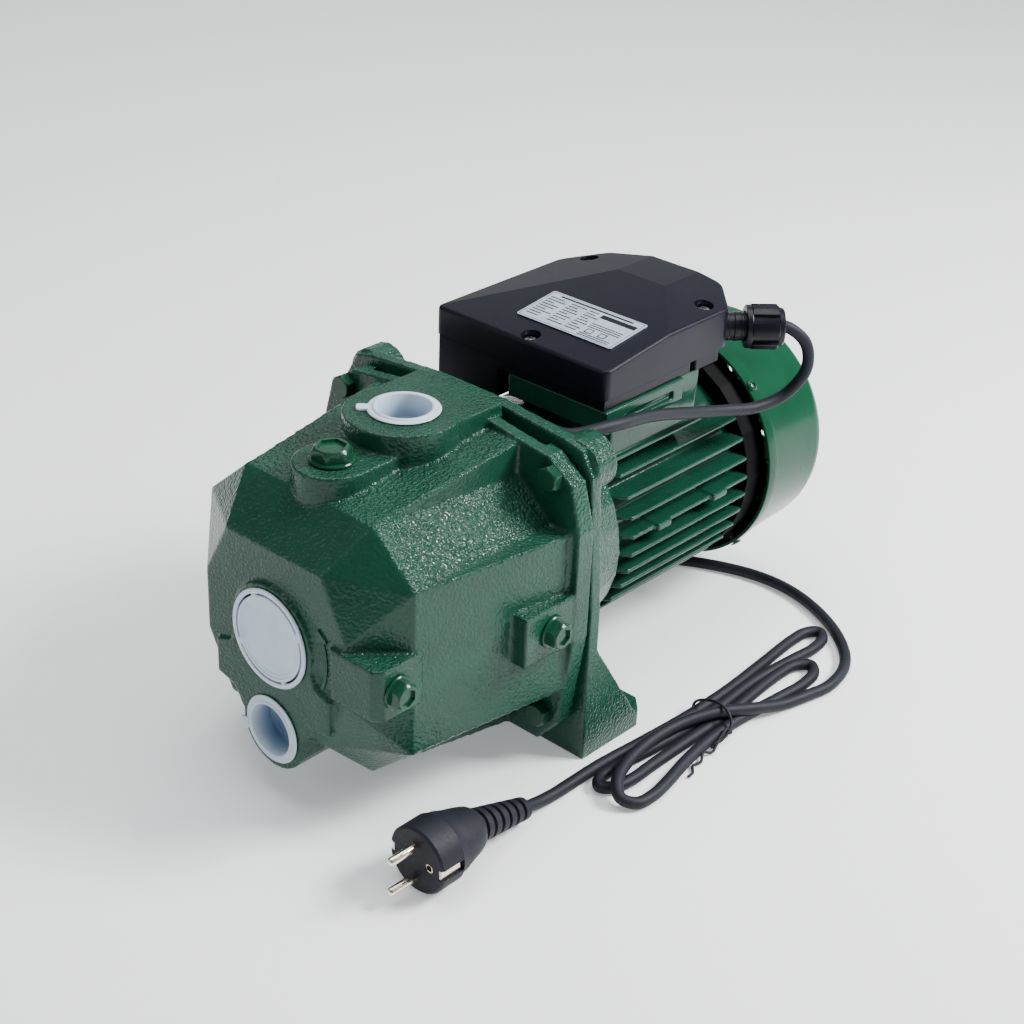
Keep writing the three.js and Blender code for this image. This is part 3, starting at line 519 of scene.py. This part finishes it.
def tube(name, points, diameter, fine=10):
    """A rubber cord through points."""
    data = bpy.data.curves.new(name, "CURVE")
    data.dimensions = "3D"
    data.bevel_depth = diameter / 2 * MM
    data.bevel_resolution = 6
    data.use_fill_caps = True
    data.materials.append(rubber)
    line = through(points, fine)
    spline = data.splines.new("POLY")
    spline.points.add(len(line) - 1)
    for point, place in zip(spline.points, line):
        point.co = (*at(*place), 1)
    spline.use_smooth = True
    made = bpy.data.objects.new(name, data)
    bpy.context.collection.objects.link(made)
    return made


lead = tube("supply_lead", LEAD + HANK + TAIL, CORD_D)
place_piece(lead, "root", "black_rubber", "power_cord", "cord_hank", "cord_tail")

TIE = [
    (143.5, 60, 1.6), (144.5, 70, 4), (143.2, 78, 9), (138, 80.5, 14.2), (131, 81.5, 15.6),
    (122, 82.5, 13.2), (113.5, 83.5, 7.5), (111.7, 83.8, 3), (113, 83.2, 0.95), (128, 81.5, 0.95),
    (141, 79.5, 0.95), (144.3, 77, 4.5), (143.4, 74, 8), (144.2, 66, 5), (146.2, 57, 1.5),
    (144.4, 51, 3.2), (147.4, 45, 1.5), (146.5, 39, 1.5), (150.2, 34, 1.2), (151, 29, 1.4),
]
tie = tube("hank_wire_tie", TIE, 1.7, 8)
place_piece(tie, "root", "black_rubber", "hank_tie")


# ---------------------------------------------------------------- plug
EARTH_HOLE = 9  # from the plug's middle


def ring_points(centre, radii, way, count=40):
    """An ellipse square to a direction, in millimetres."""
    turn = Vector((0, 1, 0)).rotation_difference(Vector(way).normalized())
    turns = [2 * math.pi * i / count for i in range(count)]
    return [tuple(Vector(centre) + turn @ Vector((radii[0] * math.cos(t), 0, radii[1] * math.sin(t))))
            for t in turns]


def make_strain_relief():
    """A tapered sleeve with ribs round it, from the plug to the lead."""
    start, end = Vector((PLUG["x"], -104.5, 18.6)), Vector((111.5, -64, 8.2))
    wide, narrow, ribs, groove = 10.2, 6.6, 6, 1.6
    way = end - start
    rings = []
    for i in range(ribs):
        for share, sunk in ((0.0, groove), (0.12, groove), (0.2, 0.0), (0.82, 0.0), (0.9, groove)):
            t = (i + share) / ribs
            radius = wide + (narrow - wide) * t - sunk
            rings.append(ring_points(start + way * t, (radius, radius * 0.92), way))
    rings.append(ring_points(end, (5.2, 5.0), way))
    return finished("strain_relief_ribs", loft(rings), rubber, 50)


relief = place_piece(make_strain_relief(), "root", "black_rubber", "plug_strain_relief")


def make_plug_body():
    """A round plug with a grip in each side and the hole of the earth pin."""
    x, z, face, r = PLUG["x"], PLUG["z"], PLUG["face"], PLUG["r"]
    sections = [
        (face + 0.0, r - 1.2, r - 1.2), (face + 1.2, r, r), (face + 16, r, r), (face + 17.5, r - 1, r - 1),
        (face + 22, 17.8, 17.2), (face + 28, 16.4, 14.6), (face + 35, 14.8, 12.6), (face + 40, 12.2, 11.2),
        (face + 42.5, 9.5, 9.5),
    ]
    rings = [ring_points((x, y, z), (a, b), (0, 1, 0), 64) for y, a, b in sections]
    made = finished("plug_moulding", loft(rings), rubber, 32)
    grips = [boxed((x + side * 15.6, x + side * 20.5), (face - 1, face + 15.5), (z - 3.2, z + 3.2))
             for side in (-1, 1)]
    cut_by(made, merged(*grips))
    hole = [(0, -1), (2.7, -1), (2.7, 9), (0, 9)]
    cut_by(made, lathe(hole, (x + EARTH_HOLE, face, z), (0, 1, 0), 32))
    return smooth_by_angle(made, 32)


plug = place_piece(make_plug_body(), "root", "black_rubber", "plug_body")


def make_pin(name, dz, node):
    """A pin at a height above the plug's middle."""
    profile = [(0, -19.5), (1.2, -19.4), (2.0, -18.9), (2.4, -17.9), (2.4, -1.5), (2.4, 0.0), (0, 0)]
    bm = lathe(profile, (PLUG["x"], PLUG["face"] - 0.1, PLUG["z"] + dz), (0, 1, 0), 40)
    return place_piece(finished(name, bm, nickel, 40), "root", "nickel", node)


pins = [make_pin("pin_upper", 9.5, "plug_pin_upper"), make_pin("pin_lower", -9.5, "plug_pin_lower")]


def make_earth_contacts():
    x, z, face = PLUG["x"], PLUG["z"], PLUG["face"]
    clips = [boxed(sorted((x + side * 14.2, x + side * 17.4)), (face + 0.4, face + 14.5), (z - 2.4, z + 2.4))
             for side in (-1, 1)]
    sleeve = [(1.7, 0.3), (2.55, 0.3), (2.55, 8), (1.7, 8), (1.7, 0.3)]
    socket = lathe(sleeve, (x + EARTH_HOLE, face, z), (0, 1, 0), 32)
    return finished("earth_contacts", merged(*(rounded(clip, 0.5) for clip in clips), socket), nickel, 30)


earth = make_earth_contacts()
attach(earth, "root")

# ---------------------------------------------------------------- castings
casing = casting("casing_casting", "pump_casing", cast_green, 1.0, 2)
place_piece(casing, "root", "cast_green", "pump_casing")
bracket = casting("bracket_casting", "motor_bracket", cast_green, 1.0, 2)
place_piece(bracket, "root", "cast_green", "motor_bracket")
housing = casting("housing_casting", "stator_housing", housing_green, 0.8, 2)
place_piece(housing, "root", "cast_green", "stator_housing")


# ---------------------------------------------------------------- hexagon plugs and bolts
def hexagon(flats):
    """The radius of a hexagon at an angle from one of its corners."""
    return lambda angle: flats / 2 / math.cos(angle % (math.pi / 3) - math.pi / 6)


def limited(outline, limit):
    """A radius at an angle, but no more than a limit."""
    return lambda angle: min(outline(angle), limit)


def node_middle(node):
    """The middle of a CAD node's box, in millimetres, with y from the origin."""
    low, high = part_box(node)
    return (Vector(low) + Vector(high)) / 2 / MM


def hex_fastener(name, node, body, origin, way, flats, head, stem, collar=0.0, seat=0.3, up=(0, 0, 1)):
    """A chamfered hexagon head on a stem, given as its radius and length. With a collar it is a plug, whose
    head is dished."""
    side = hexagon(flats)
    corner = flats / math.sqrt(3)
    rows = [(0, -stem[1]), (stem[0] - 0.6, -stem[1]), (stem[0], 0.8 - stem[1]), (stem[0], seat)]
    base = seat
    if collar:
        base = seat + 1.6
        rows += [(collar - 0.3, seat), (collar, seat + 0.3), (collar, base - 0.5), (collar - 0.5, base)]
    top = base + head
    chamfer = corner - 0.93 * flats / 2
    steps = 6
    rows += [(side, base), (side, top - chamfer)]
    for i in range(1, steps + 1):
        depth = chamfer * i / steps
        rows.append((limited(side, corner - depth), top - chamfer + depth))
    if collar:
        dish = hexagon(flats - 5.2)
        rows += [(dish, top), (hexagon(flats - 5.8), top - 1.6), (0, top - 1.6)]
    else:
        rows.append((0, top))
    slot = "cast_green" if collar else "zinc"
    made = finished(name, lathe(rows, origin, way, 72, up), fastener_green, 30)
    return place_piece(made, body, slot, node)


SMALL_PLUG = (14, 6.5, (6.3, 14), 9.5)  # flats, head, stem and collar
hex_fastener("priming_hexagon", "priming_plug", "priming_plug_body", (0, -98, 188.5), (0, 0, 1), 19, 6.5,
             (10.1, 13), 12.5, up=(1, 0, 0))
hex_fastener("front_hexagon", "front_drain_plug", "front_drain_plug_body", (80, -129, 98.5), (1, 0, 0),
             *SMALL_PLUG)
for side, name in ((1, "right"), (-1, "left")):
    hex_fastener(f"{name}_hexagon", f"{name}_gauge_plug", f"{name}_gauge_plug_body", (side * 97.5, -31, 99),
                 (side, 0, 0), *SMALL_PLUG)
for node in (f"flange_bolt_{i}" for i in range(1, 5)):
    middle = node_middle(node)
    hex_fastener(f"{node}_head", node, "root", (middle.x, -14, middle.z), (0, -1, 0), 13, 5.8, (4, 29.5))


# ---------------------------------------------------------------- port caps
def make_disc_cap():
    """The large cap: a flat disc in a rim, with a groove between them that four webs cross."""
    half_web, first_web = math.radians(5), math.radians(20)

    def groove(angle):
        return 1.5 if abs((angle - first_web) % (math.pi / 2) - half_web) < half_web else 0.3

    rows = [
        (0, -0.2), (21.8, -0.2), (22, -12), (23.4, -12), (23.4, 0.3), (27.9, 0.3), (28.3, 0.6), (28.4, 1.2),
        (28.0, 1.8), (26.2, 1.8), (25.7, 1.5), (25.6, groove), (24.5, groove), (24.4, 1.5), (24.0, 1.7),
        (22.9, 1.7), (22.4, 1.2), (20.6, 1.1), (20.3, 0.9), (0, 0.9),
    ]
    made = finished("suction_disc", lathe(rows, (0, FACE_Y, SHAFT_Z), (0, -1, 0), 144), clear_cap, 30)
    return place_piece(made, "suction_cap", "clear_cap", "suction_port_cap")


def make_cup_cap(name, node, body, origin, way, tab_way, material):
    """A cup in a port, with a rim and a pull tab."""
    rows = [
        (0, -12.4), (11.8, -12.4), (12.3, -11.9), (13.8, -11.9), (14.5, -11), (14.9, 1.4), (15.3, 2.1),
        (16.1, 2.3), (16.8, 2.0), (17.2, 1.5), (19.2, 1.4), (19.8, 1.1), (20, 0.8), (19.7, 0.4), (19.2, 0.3),
        (16.1, 0.3), (15.9, -13.3), (15.1, -14), (0, -14),
    ]
    cup = lathe(rows, origin, way, 96, tab_way)
    out, tab = Vector(way), Vector(tab_way).normalized()
    across = out.cross(tab)
    outline = [(18.8, -3), (23.6, -3.4), (25.4, -2.4), (25.4, 2.2), (24.2, 3.4), (18.8, 3)]
    rings = [[Vector(origin) + tab * r + across * s + out * t for r, s in outline] for t in (0.4, 1.6)]
    made = finished(name, merged(cup, rounded(loft(rings), 0.35)), material, 30)
    return place_piece(made, body, "clear_cap", node)


make_disc_cap()
# The last colour given to each cup material is its painted shade, deep inside the cup.
make_cup_cap("drive_cup", "drive_port_cap", "drive_cap", (0, FACE_Y, 42.6), (0, -1, 0), (-1, 0, -0.25),
             cup_material("drive_cup_polyethylene", "Y", 1, (0.17, 0.28, 0.45)))
make_cup_cap("discharge_cup", "discharge_port_cap", "discharge_cap", (0, -46, 200), (0, 0, 1), (-1, -1, 0),
             cup_material("discharge_cup_polyethylene", "Z", -1, (0.32, 0.43, 0.56)))


# ---------------------------------------------------------------- fan cover
COVER_LIP_R = 76.2
COVER_SLOTS = 18


def make_fan_cover():
    """A pressed cover with a lip over the shield and radial slots in its back."""
    lip = COVER_LIP_R
    rows = [
        (74.4, 192), (75.9, 192), (lip, 192.4), (lip, 199.0), (75.9, 200.2), (75.2, 200.9), (74.9, 202),
        (73.5, 244.5), (73.2, 247.4), (72.3, 250), (70.8, 252.4), (68.6, 254.6), (65.8, 256.4), (62.6, 257.6),
        (59, 258), (0, 258), (0, 256.2), (59, 256.2), (62, 255.9), (65, 254.8), (67.4, 253.3), (69.4, 251.2),
        (70.7, 248.8), (71.5, 246), (73.1, 201.8), (74.4, 198.8), (74.4, 192),
    ]
    made = finished("fan_cover_pressing", lathe(rows, (0, 0, SHAFT_Z), (0, 1, 0), 144), cover_green, 28)
    slots = []
    middle = Matrix.Translation(at(0, 0, SHAFT_Z))
    for i in range(COVER_SLOTS):
        slot = boxed((22, 54), (253, 260), (98.3, 101.7))
        turn = Matrix.Rotation(2 * math.pi * i / COVER_SLOTS, 4, "Y")
        slot.transform(middle @ turn @ middle.inverted())
        slots.append(slot)
    cut_by(made, merged(*slots))
    smooth_by_angle(made, 28)
    return place_piece(made, "root", "cover_green", "fan_cover")


make_fan_cover()
for node in (f"fan_cover_screw_{i}" for i in range(1, 5)):
    middle = node_middle(node)
    way = Vector((middle.x, 0, middle.z - SHAFT_Z)).normalized()
    rows = [(0, -14), (1.9, -14), (1.9, 0.3), (3.5, 0.3), (3.6, 0.7), (3.1, 1.3), (2.2, 1.7), (1.4, 1.8),
            (1.1, 1.0), (0, 1.0)]
    seat = (way.x * COVER_LIP_R, 196, SHAFT_Z + way.z * COVER_LIP_R)
    made = finished(f"{node}_dome", lathe(rows, seat, way, 32, (0, 1, 0)), fastener_green, 30)
    place_piece(made, "root", "zinc", node)


# ---------------------------------------------------------------- terminal box
BOX = {"w": 64, "y": (43, 172), "cut": 21.5, "rim": 197, "top": 226, "wall": 2.4}
LID_SCREWS = ((3, 50), (53, 141), (-45, 156))
POCKET = {"r": 5.7, "depth": 5}
LID_SLOPE = 0.125  # up from the front edge
STEEP, SLIGHT = 0.5, 0.06  # angles of the lid's edges, in radians


def lid_height(x, y):
    """The lid's outside: a level top that slopes down to the front and to both sides."""
    top = BOX["top"]
    return min(top, 214 + LID_SLOPE * (y - 43), top + 0.218 * (x + 9), top - 0.145 * (x - 26))


def in_order(bm):
    """The same mesh with its vertices and faces in a fixed order, which hulls and bevels don't keep."""
    verts = sorted(bm.verts, key=lambda v: tuple(v.co))
    place = {v: i for i, v in enumerate(verts)}
    rings = []
    for face in bm.faces:
        ring = [place[v] for v in face.verts]
        start = ring.index(min(ring))
        rings.append(ring[start:] + ring[:start])
    made = bmesh.new()
    spots = [made.verts.new(v.co) for v in verts]
    for ring in sorted(rings):
        made.faces.new([spots[i] for i in ring])
    bm.free()
    return made


def lid_hull(margin, drop, bottom):
    """The lid's faceted outside, or its inside a margin in from the sides and a drop under the top."""
    w, (y0, y1) = BOX["w"] - margin, BOX["y"]
    y0, y1, cut = y0 + margin, y1 - margin, BOX["cut"] - margin * 0.586
    plan = [(-w, y0), (w, y0), (w, y1 - cut), (w - cut, y1), (cut - w, y1), (-w, y1 - cut)]
    ridge = [(26, 139), (-9, 139), (26, y1), (-9, y1), (w, 95)]
    bm = bmesh.new()
    for x, y in plan + ridge:
        bm.verts.new(at(x, y, lid_height(x, y) - drop))
    for x, y in plan:
        bm.verts.new(at(x, y, bottom))
    made = bmesh.ops.convex_hull(bm, input=bm.verts)
    bmesh.ops.delete(bm, geom=made["geom_interior"] + made["geom_unused"], context="VERTS")
    bmesh.ops.dissolve_limit(bm, angle_limit=math.radians(0.8), verts=bm.verts, edges=bm.edges)
    return in_order(bm)


def round_lid(bm):
    """Rounds the lid's upright corners widely and its other edges by a little, but not its open rim."""
    rim = BOX["rim"] * MM + 1e-5

    def free(edge):
        return max(v.co.z for v in edge.verts) > rim and len(edge.link_faces) == 2

    def upright(edge):
        return (edge.verts[0].co.xy - edge.verts[1].co.xy).length < 1e-5

    def steep(edge):
        return not upright(edge) and edge.calc_face_angle(0) > STEEP

    def flat(edge):
        return SLIGHT < edge.calc_face_angle(0) <= STEEP

    for wanted, width in ((upright, 4), (steep, 1.8), (flat, 1.5)):
        chosen = [e for e in bm.edges if free(e) and wanted(e)]
        bmesh.ops.bevel(bm, geom=chosen, offset=width * MM, segments=4, profile=0.5, affect="EDGES",
                        clamp_overlap=True)
    return in_order(bm)


def post(radius, low, high, x, y, segments=48):
    """An upright cylinder between two heights."""
    rows = [(0, low), (radius, low), (radius, high), (0, high)]
    return lathe(rows, (x, y, 0), (0, 0, 1), segments, (1, 0, 0))


def gland_block(t0, t1, half, z0, z1):
    """A block along the gland's axis."""
    across = Vector((1, -1, 0)).normalized()
    corners = [(t0, -half), (t1, -half), (t1, half), (t0, half)]
    spots = [GLAND + GLAND_WAY * t + across * s for t, s in corners]
    return loft([[(p.x, p.y, z) for p in spots] for z in (z0, z1)])


def make_lid():
    """The lid: a shell with posts and pockets for its screws and half of the gland's hole."""
    wall, rim = BOX["wall"], BOX["rim"]
    made = finished("terminal_lid", round_lid(lid_hull(0, 0, rim)), box_black, 30)
    hollow = finished("hollow", lid_hull(wall, wall, rim - 1), box_black)
    for x, y in LID_SCREWS:
        cut_by(hollow, post(7.2, rim - 2, BOX["top"] + 2, x, y))
    cavity = bmesh.new()
    cavity.from_mesh(hollow.data)
    bpy.data.objects.remove(hollow)
    cut_by(made, cavity)
    for x, y in LID_SCREWS:
        cut_by(made, post(POCKET["r"], lid_height(x, y) - POCKET["depth"], BOX["top"] + 9, x, y))
        cut_by(made, post(2.3, rim - 2, BOX["top"], x, y, 24))
    cut_by(made, lathe([(0, -5), (9, -5), (9, 3), (0, 3)], GLAND, GLAND_WAY, 48))
    cut_by(made, gland_block(-5, 3, 9, rim - 2, 203))
    smooth_by_angle(made, 32)
    return place_piece(made, "lid", "box_plastic", "terminal_box_lid")


make_lid()
base = casting("terminal_base", "terminal_box_base", box_black, 0.8, 3, 0)
place_piece(base, "root", "box_plastic", "terminal_box_base")
for i, (x, y) in enumerate(LID_SCREWS, 1):
    seat = lid_height(x, y) - POCKET["depth"] + 0.3
    rows = [(0, -22), (1.9, -22), (1.9, 0), (4.1, 0), (4.2, 0.8), (3.8, 1.8), (2.6, 2.5), (1.2, 2.7),
            (0, 2.7)]
    screw = finished(f"lid_screw_{i}_pan", lathe(rows, (x, y, seat), (0, 0, 1), 40, (1, 0, 0)), steel, 30)
    for a, b in ((2.6, 0.5), (0.5, 2.6)):
        cut_by(screw, boxed((x - a, x + a), (y - b, y + b), (seat + 1.3, seat + 4)))
    place_piece(smooth_by_angle(screw, 30), "lid", "steel", f"lid_screw_{i}")


# ---------------------------------------------------------------- rating label
def on_label(u, v, t):
    """A point on the label: across and up it from its middle, and above the lid."""
    x, y = (LABEL["x"][0] + LABEL["x"][1]) / 2, (LABEL["y"][0] + LABEL["y"][1]) / 2
    slope = math.atan(LID_SLOPE)
    place = Vector((x + u, y + v * math.cos(slope), lid_height(x, y) + v * math.sin(slope)))
    return tuple(place + Vector((0, -math.sin(slope), math.cos(slope))) * t)


def label_plate(u, v, t, corner=0.0):
    """A thin plate on the label between two places across, up and above it."""
    (u0, u1), (v0, v1) = u, v
    if corner:
        spots = [(u0 + corner, v0), (u1 - corner, v0), (u1, v0 + corner), (u1, v1 - corner),
                 (u1 - corner, v1), (u0 + corner, v1), (u0, v1 - corner), (u0, v0 + corner)]
    else:
        spots = [(u0, v0), (u1, v0), (u1, v1), (u0, v1)]
    return loft([[on_label(a, b, h) for a, b in spots] for h in t])


def make_label():
    """A foil plate printed with a frame and plain bars in place of text."""
    half_u, half_v = 34.5, 16.5
    plate = label_plate((-half_u, half_u), (-half_v, half_v), (0.35, 0.8), 0.8)
    place_piece(finished("label_plate", rounded(plate, 0.12, 1), label_foil, 30), "lid", "label_foil",
                "rating_label")
    top = (0.78, 0.84)
    bars = []
    rows = 9
    for row in range(rows):
        v = half_v - 6.4 - row * 2.7
        left = -half_u + 3
        for k, share in enumerate((0.2, 0.17, 0.15)):
            long = share * 2 * half_u * (0.75 + 0.25 * math.sin(2.3 * row + 1.7 * k))
            bars.append(label_plate((left, left + long), (v - 0.45, v + 0.45), top))
            left += share * 2 * half_u + 1.6
    bars.append(label_plate((-half_u + 8, half_u - 8), (half_v - 3.9, half_v - 2.4), top))
    bars.append(label_plate((7, half_u - 2.5), (half_v - 9.5, half_v - 5.6), top))
    for v in (-0.6, -2.6, -4.6, -12.4, -14.2):
        bars.append(label_plate((8, half_u - 4), (v, v + 0.8), top))
    for u in (10, 19.5):
        bars += [label_plate((u, u + 5.2), (v, v + 0.7), top) for v in (-10.6, -6.6)]
        bars += [label_plate((u + a, u + a + 0.7), (-10.6, -5.9), top) for a in (0, 4.5)]
    for v0, v1 in ((-half_v + 1, -half_v + 1.3), (half_v - 1.3, half_v - 1)):
        bars.append(label_plate((-half_u + 1, half_u - 1), (v0, v1), top))
    for u0, u1 in ((-half_u + 1, -half_u + 1.3), (half_u - 1.3, half_u - 1)):
        bars.append(label_plate((u0, u1), (-half_v + 1, half_v - 1), top))
    printed = finished("label_print", merged(*bars), satin_black, 30)
    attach(printed, "lid")


make_label()


# ---------------------------------------------------------------- cable gland
RIB_STEP, RIB_SHARE = math.pi / 3, 0.62


def ribs(low, high):
    """The radius of a ribbed ring at an angle."""
    return lambda angle: high if angle % RIB_STEP < RIB_STEP * RIB_SHARE else low


def make_gland():
    nut = [
        (9.1, 12.3), (11.6, 12.3), (12.5, 12.7), (12.7, 13.4), (12.7, 15.4), (12.5, 15.8),
        (ribs(11.3, 12.9), 15.9), (ribs(11.2, 13.2), 16.6), (ribs(11.0, 13.2), 30.6),
        (ribs(11.0, 12.7), 31.4), (11.3, 31.5), (11.1, 33.8), (10.4, 34.7), (9.4, 35), (5.2, 35), (5, 34.6),
        (5, 28), (9.1, 28), (9.1, 12.3),
    ]
    made = finished("gland_ribbed_nut", lathe(nut, GLAND, GLAND_WAY, 144), satin_black, 25)
    place_piece(made, "gland_nut_body", "black_plastic", "gland_nut")
    body = [
        (4.4, -15), (6, -15), (6, -2.8), (8.5, -2.8), (8.5, 2.6), (8.1, 3.1), (8.1, 5.6), (8.5, 6.1),
        (8.5, 9.6), (8.2, 10), (8.2, 11), (8.5, 11.4), (8.5, 24), (4.4, 24), (4.4, -15),
    ]
    made = finished("gland_threaded_body", lathe(body, GLAND, GLAND_WAY, 72), satin_black, 25)
    place_piece(made, "root", "black_plastic", "gland_body")


make_gland()


# ---------------------------------------------------------------- rotation mark on the casing
def make_rotation_mark():
    """A raised arc with a plain arrowhead, cast on the front wall beside the large cap."""
    radius, half, front, back = 39.5, 1.4, -141.1, -139
    bottom, top, steps = math.radians(-34), math.radians(20), 28
    rings = []
    for i in range(steps + 1):
        a = bottom + (top - bottom) * i / steps
        grow = math.sin(math.pi * min(1, (i + 1) / 5) / 2)
        section = [(-half, back), (-half, front + 0.5), (-half * 0.4, front), (half * 0.4, front),
                   (half, front + 0.5), (half, back)]
        rings.append([((radius + s * grow) * math.cos(a), y, SHAFT_Z + (radius + s * grow) * math.sin(a))
                      for s, y in section])
    tip, shoulder = math.radians(30), math.radians(19)
    corners = [(radius, tip), (radius + 4, shoulder), (radius - 4, shoulder)]
    head = [[(r * math.cos(a), y, SHAFT_Z + r * math.sin(a)) for r, a in corners] for y in (back, front)]
    made = finished("rotation_mark", merged(loft(rings), rounded(loft(head), 0.5)), cast_green, 40)
    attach(made, "root")


make_rotation_mark()

# ---------------------------------------------------------------- floor and light
FLOOR_SIZE = 30  # metres
WORLD_COLOR, WORLD_STRENGTH = (0.92, 0.96, 1, 1), 0.24


def make_floor():
    bm = bmesh.new()
    bmesh.ops.create_grid(bm, x_segments=1, y_segments=1, size=FLOOR_SIZE)
    mesh = bpy.data.meshes.new("floor")
    bm.to_mesh(mesh)
    bm.free()
    paper = Finish("floor_paper", (0.87, 0.88, 0.89), 0.8, Emission_Color=(0.96, 0.98, 1, 1),
                   Emission_Strength=0.3)
    to_object("floor", mesh, paper.material)


def area_light(name, place, target, size, power):
    """A rectangular light that faces a target. In metres and watts."""
    data = bpy.data.lights.new(name, "AREA")
    data.shape = "RECTANGLE"
    data.size, data.size_y = size
    data.energy = power
    light = bpy.data.objects.new(name, data)
    light.location = place
    light.rotation_mode = "QUATERNION"
    light.rotation_quaternion = (Vector(target) - Vector(place)).to_track_quat("-Z", "Y")
    bpy.context.collection.objects.link(light)


make_floor()
area_light("back_softbox", (0.95, 0.85, 1.2), (0.05, -0.08, 0.12), (0.6, 0.5), 60)
area_light("overhead", (-0.2, 0.1, 2.0), (0, 0, 0.1), (1.5, 1.5), 36)
area_light("back_left_card", (-1.5, 1.6, 1.0), (0, 0, 0.15), (2.2, 1.2), 5)
area_light("right", (2.0, 0.3, 1.1), (0, 0, 0.1), (1.0, 1.0), 1.8)
area_light("left_front", (-0.9, -2.0, 1.2), (0, 0, 0.1), (1.2, 1.0), 8)
world = bpy.data.worlds.new("studio")
world.use_nodes = True
background = world.node_tree.nodes["Background"]
background.inputs["Color"].default_value = WORLD_COLOR
background.inputs["Strength"].default_value = WORLD_STRENGTH
bpy.context.scene.world = world
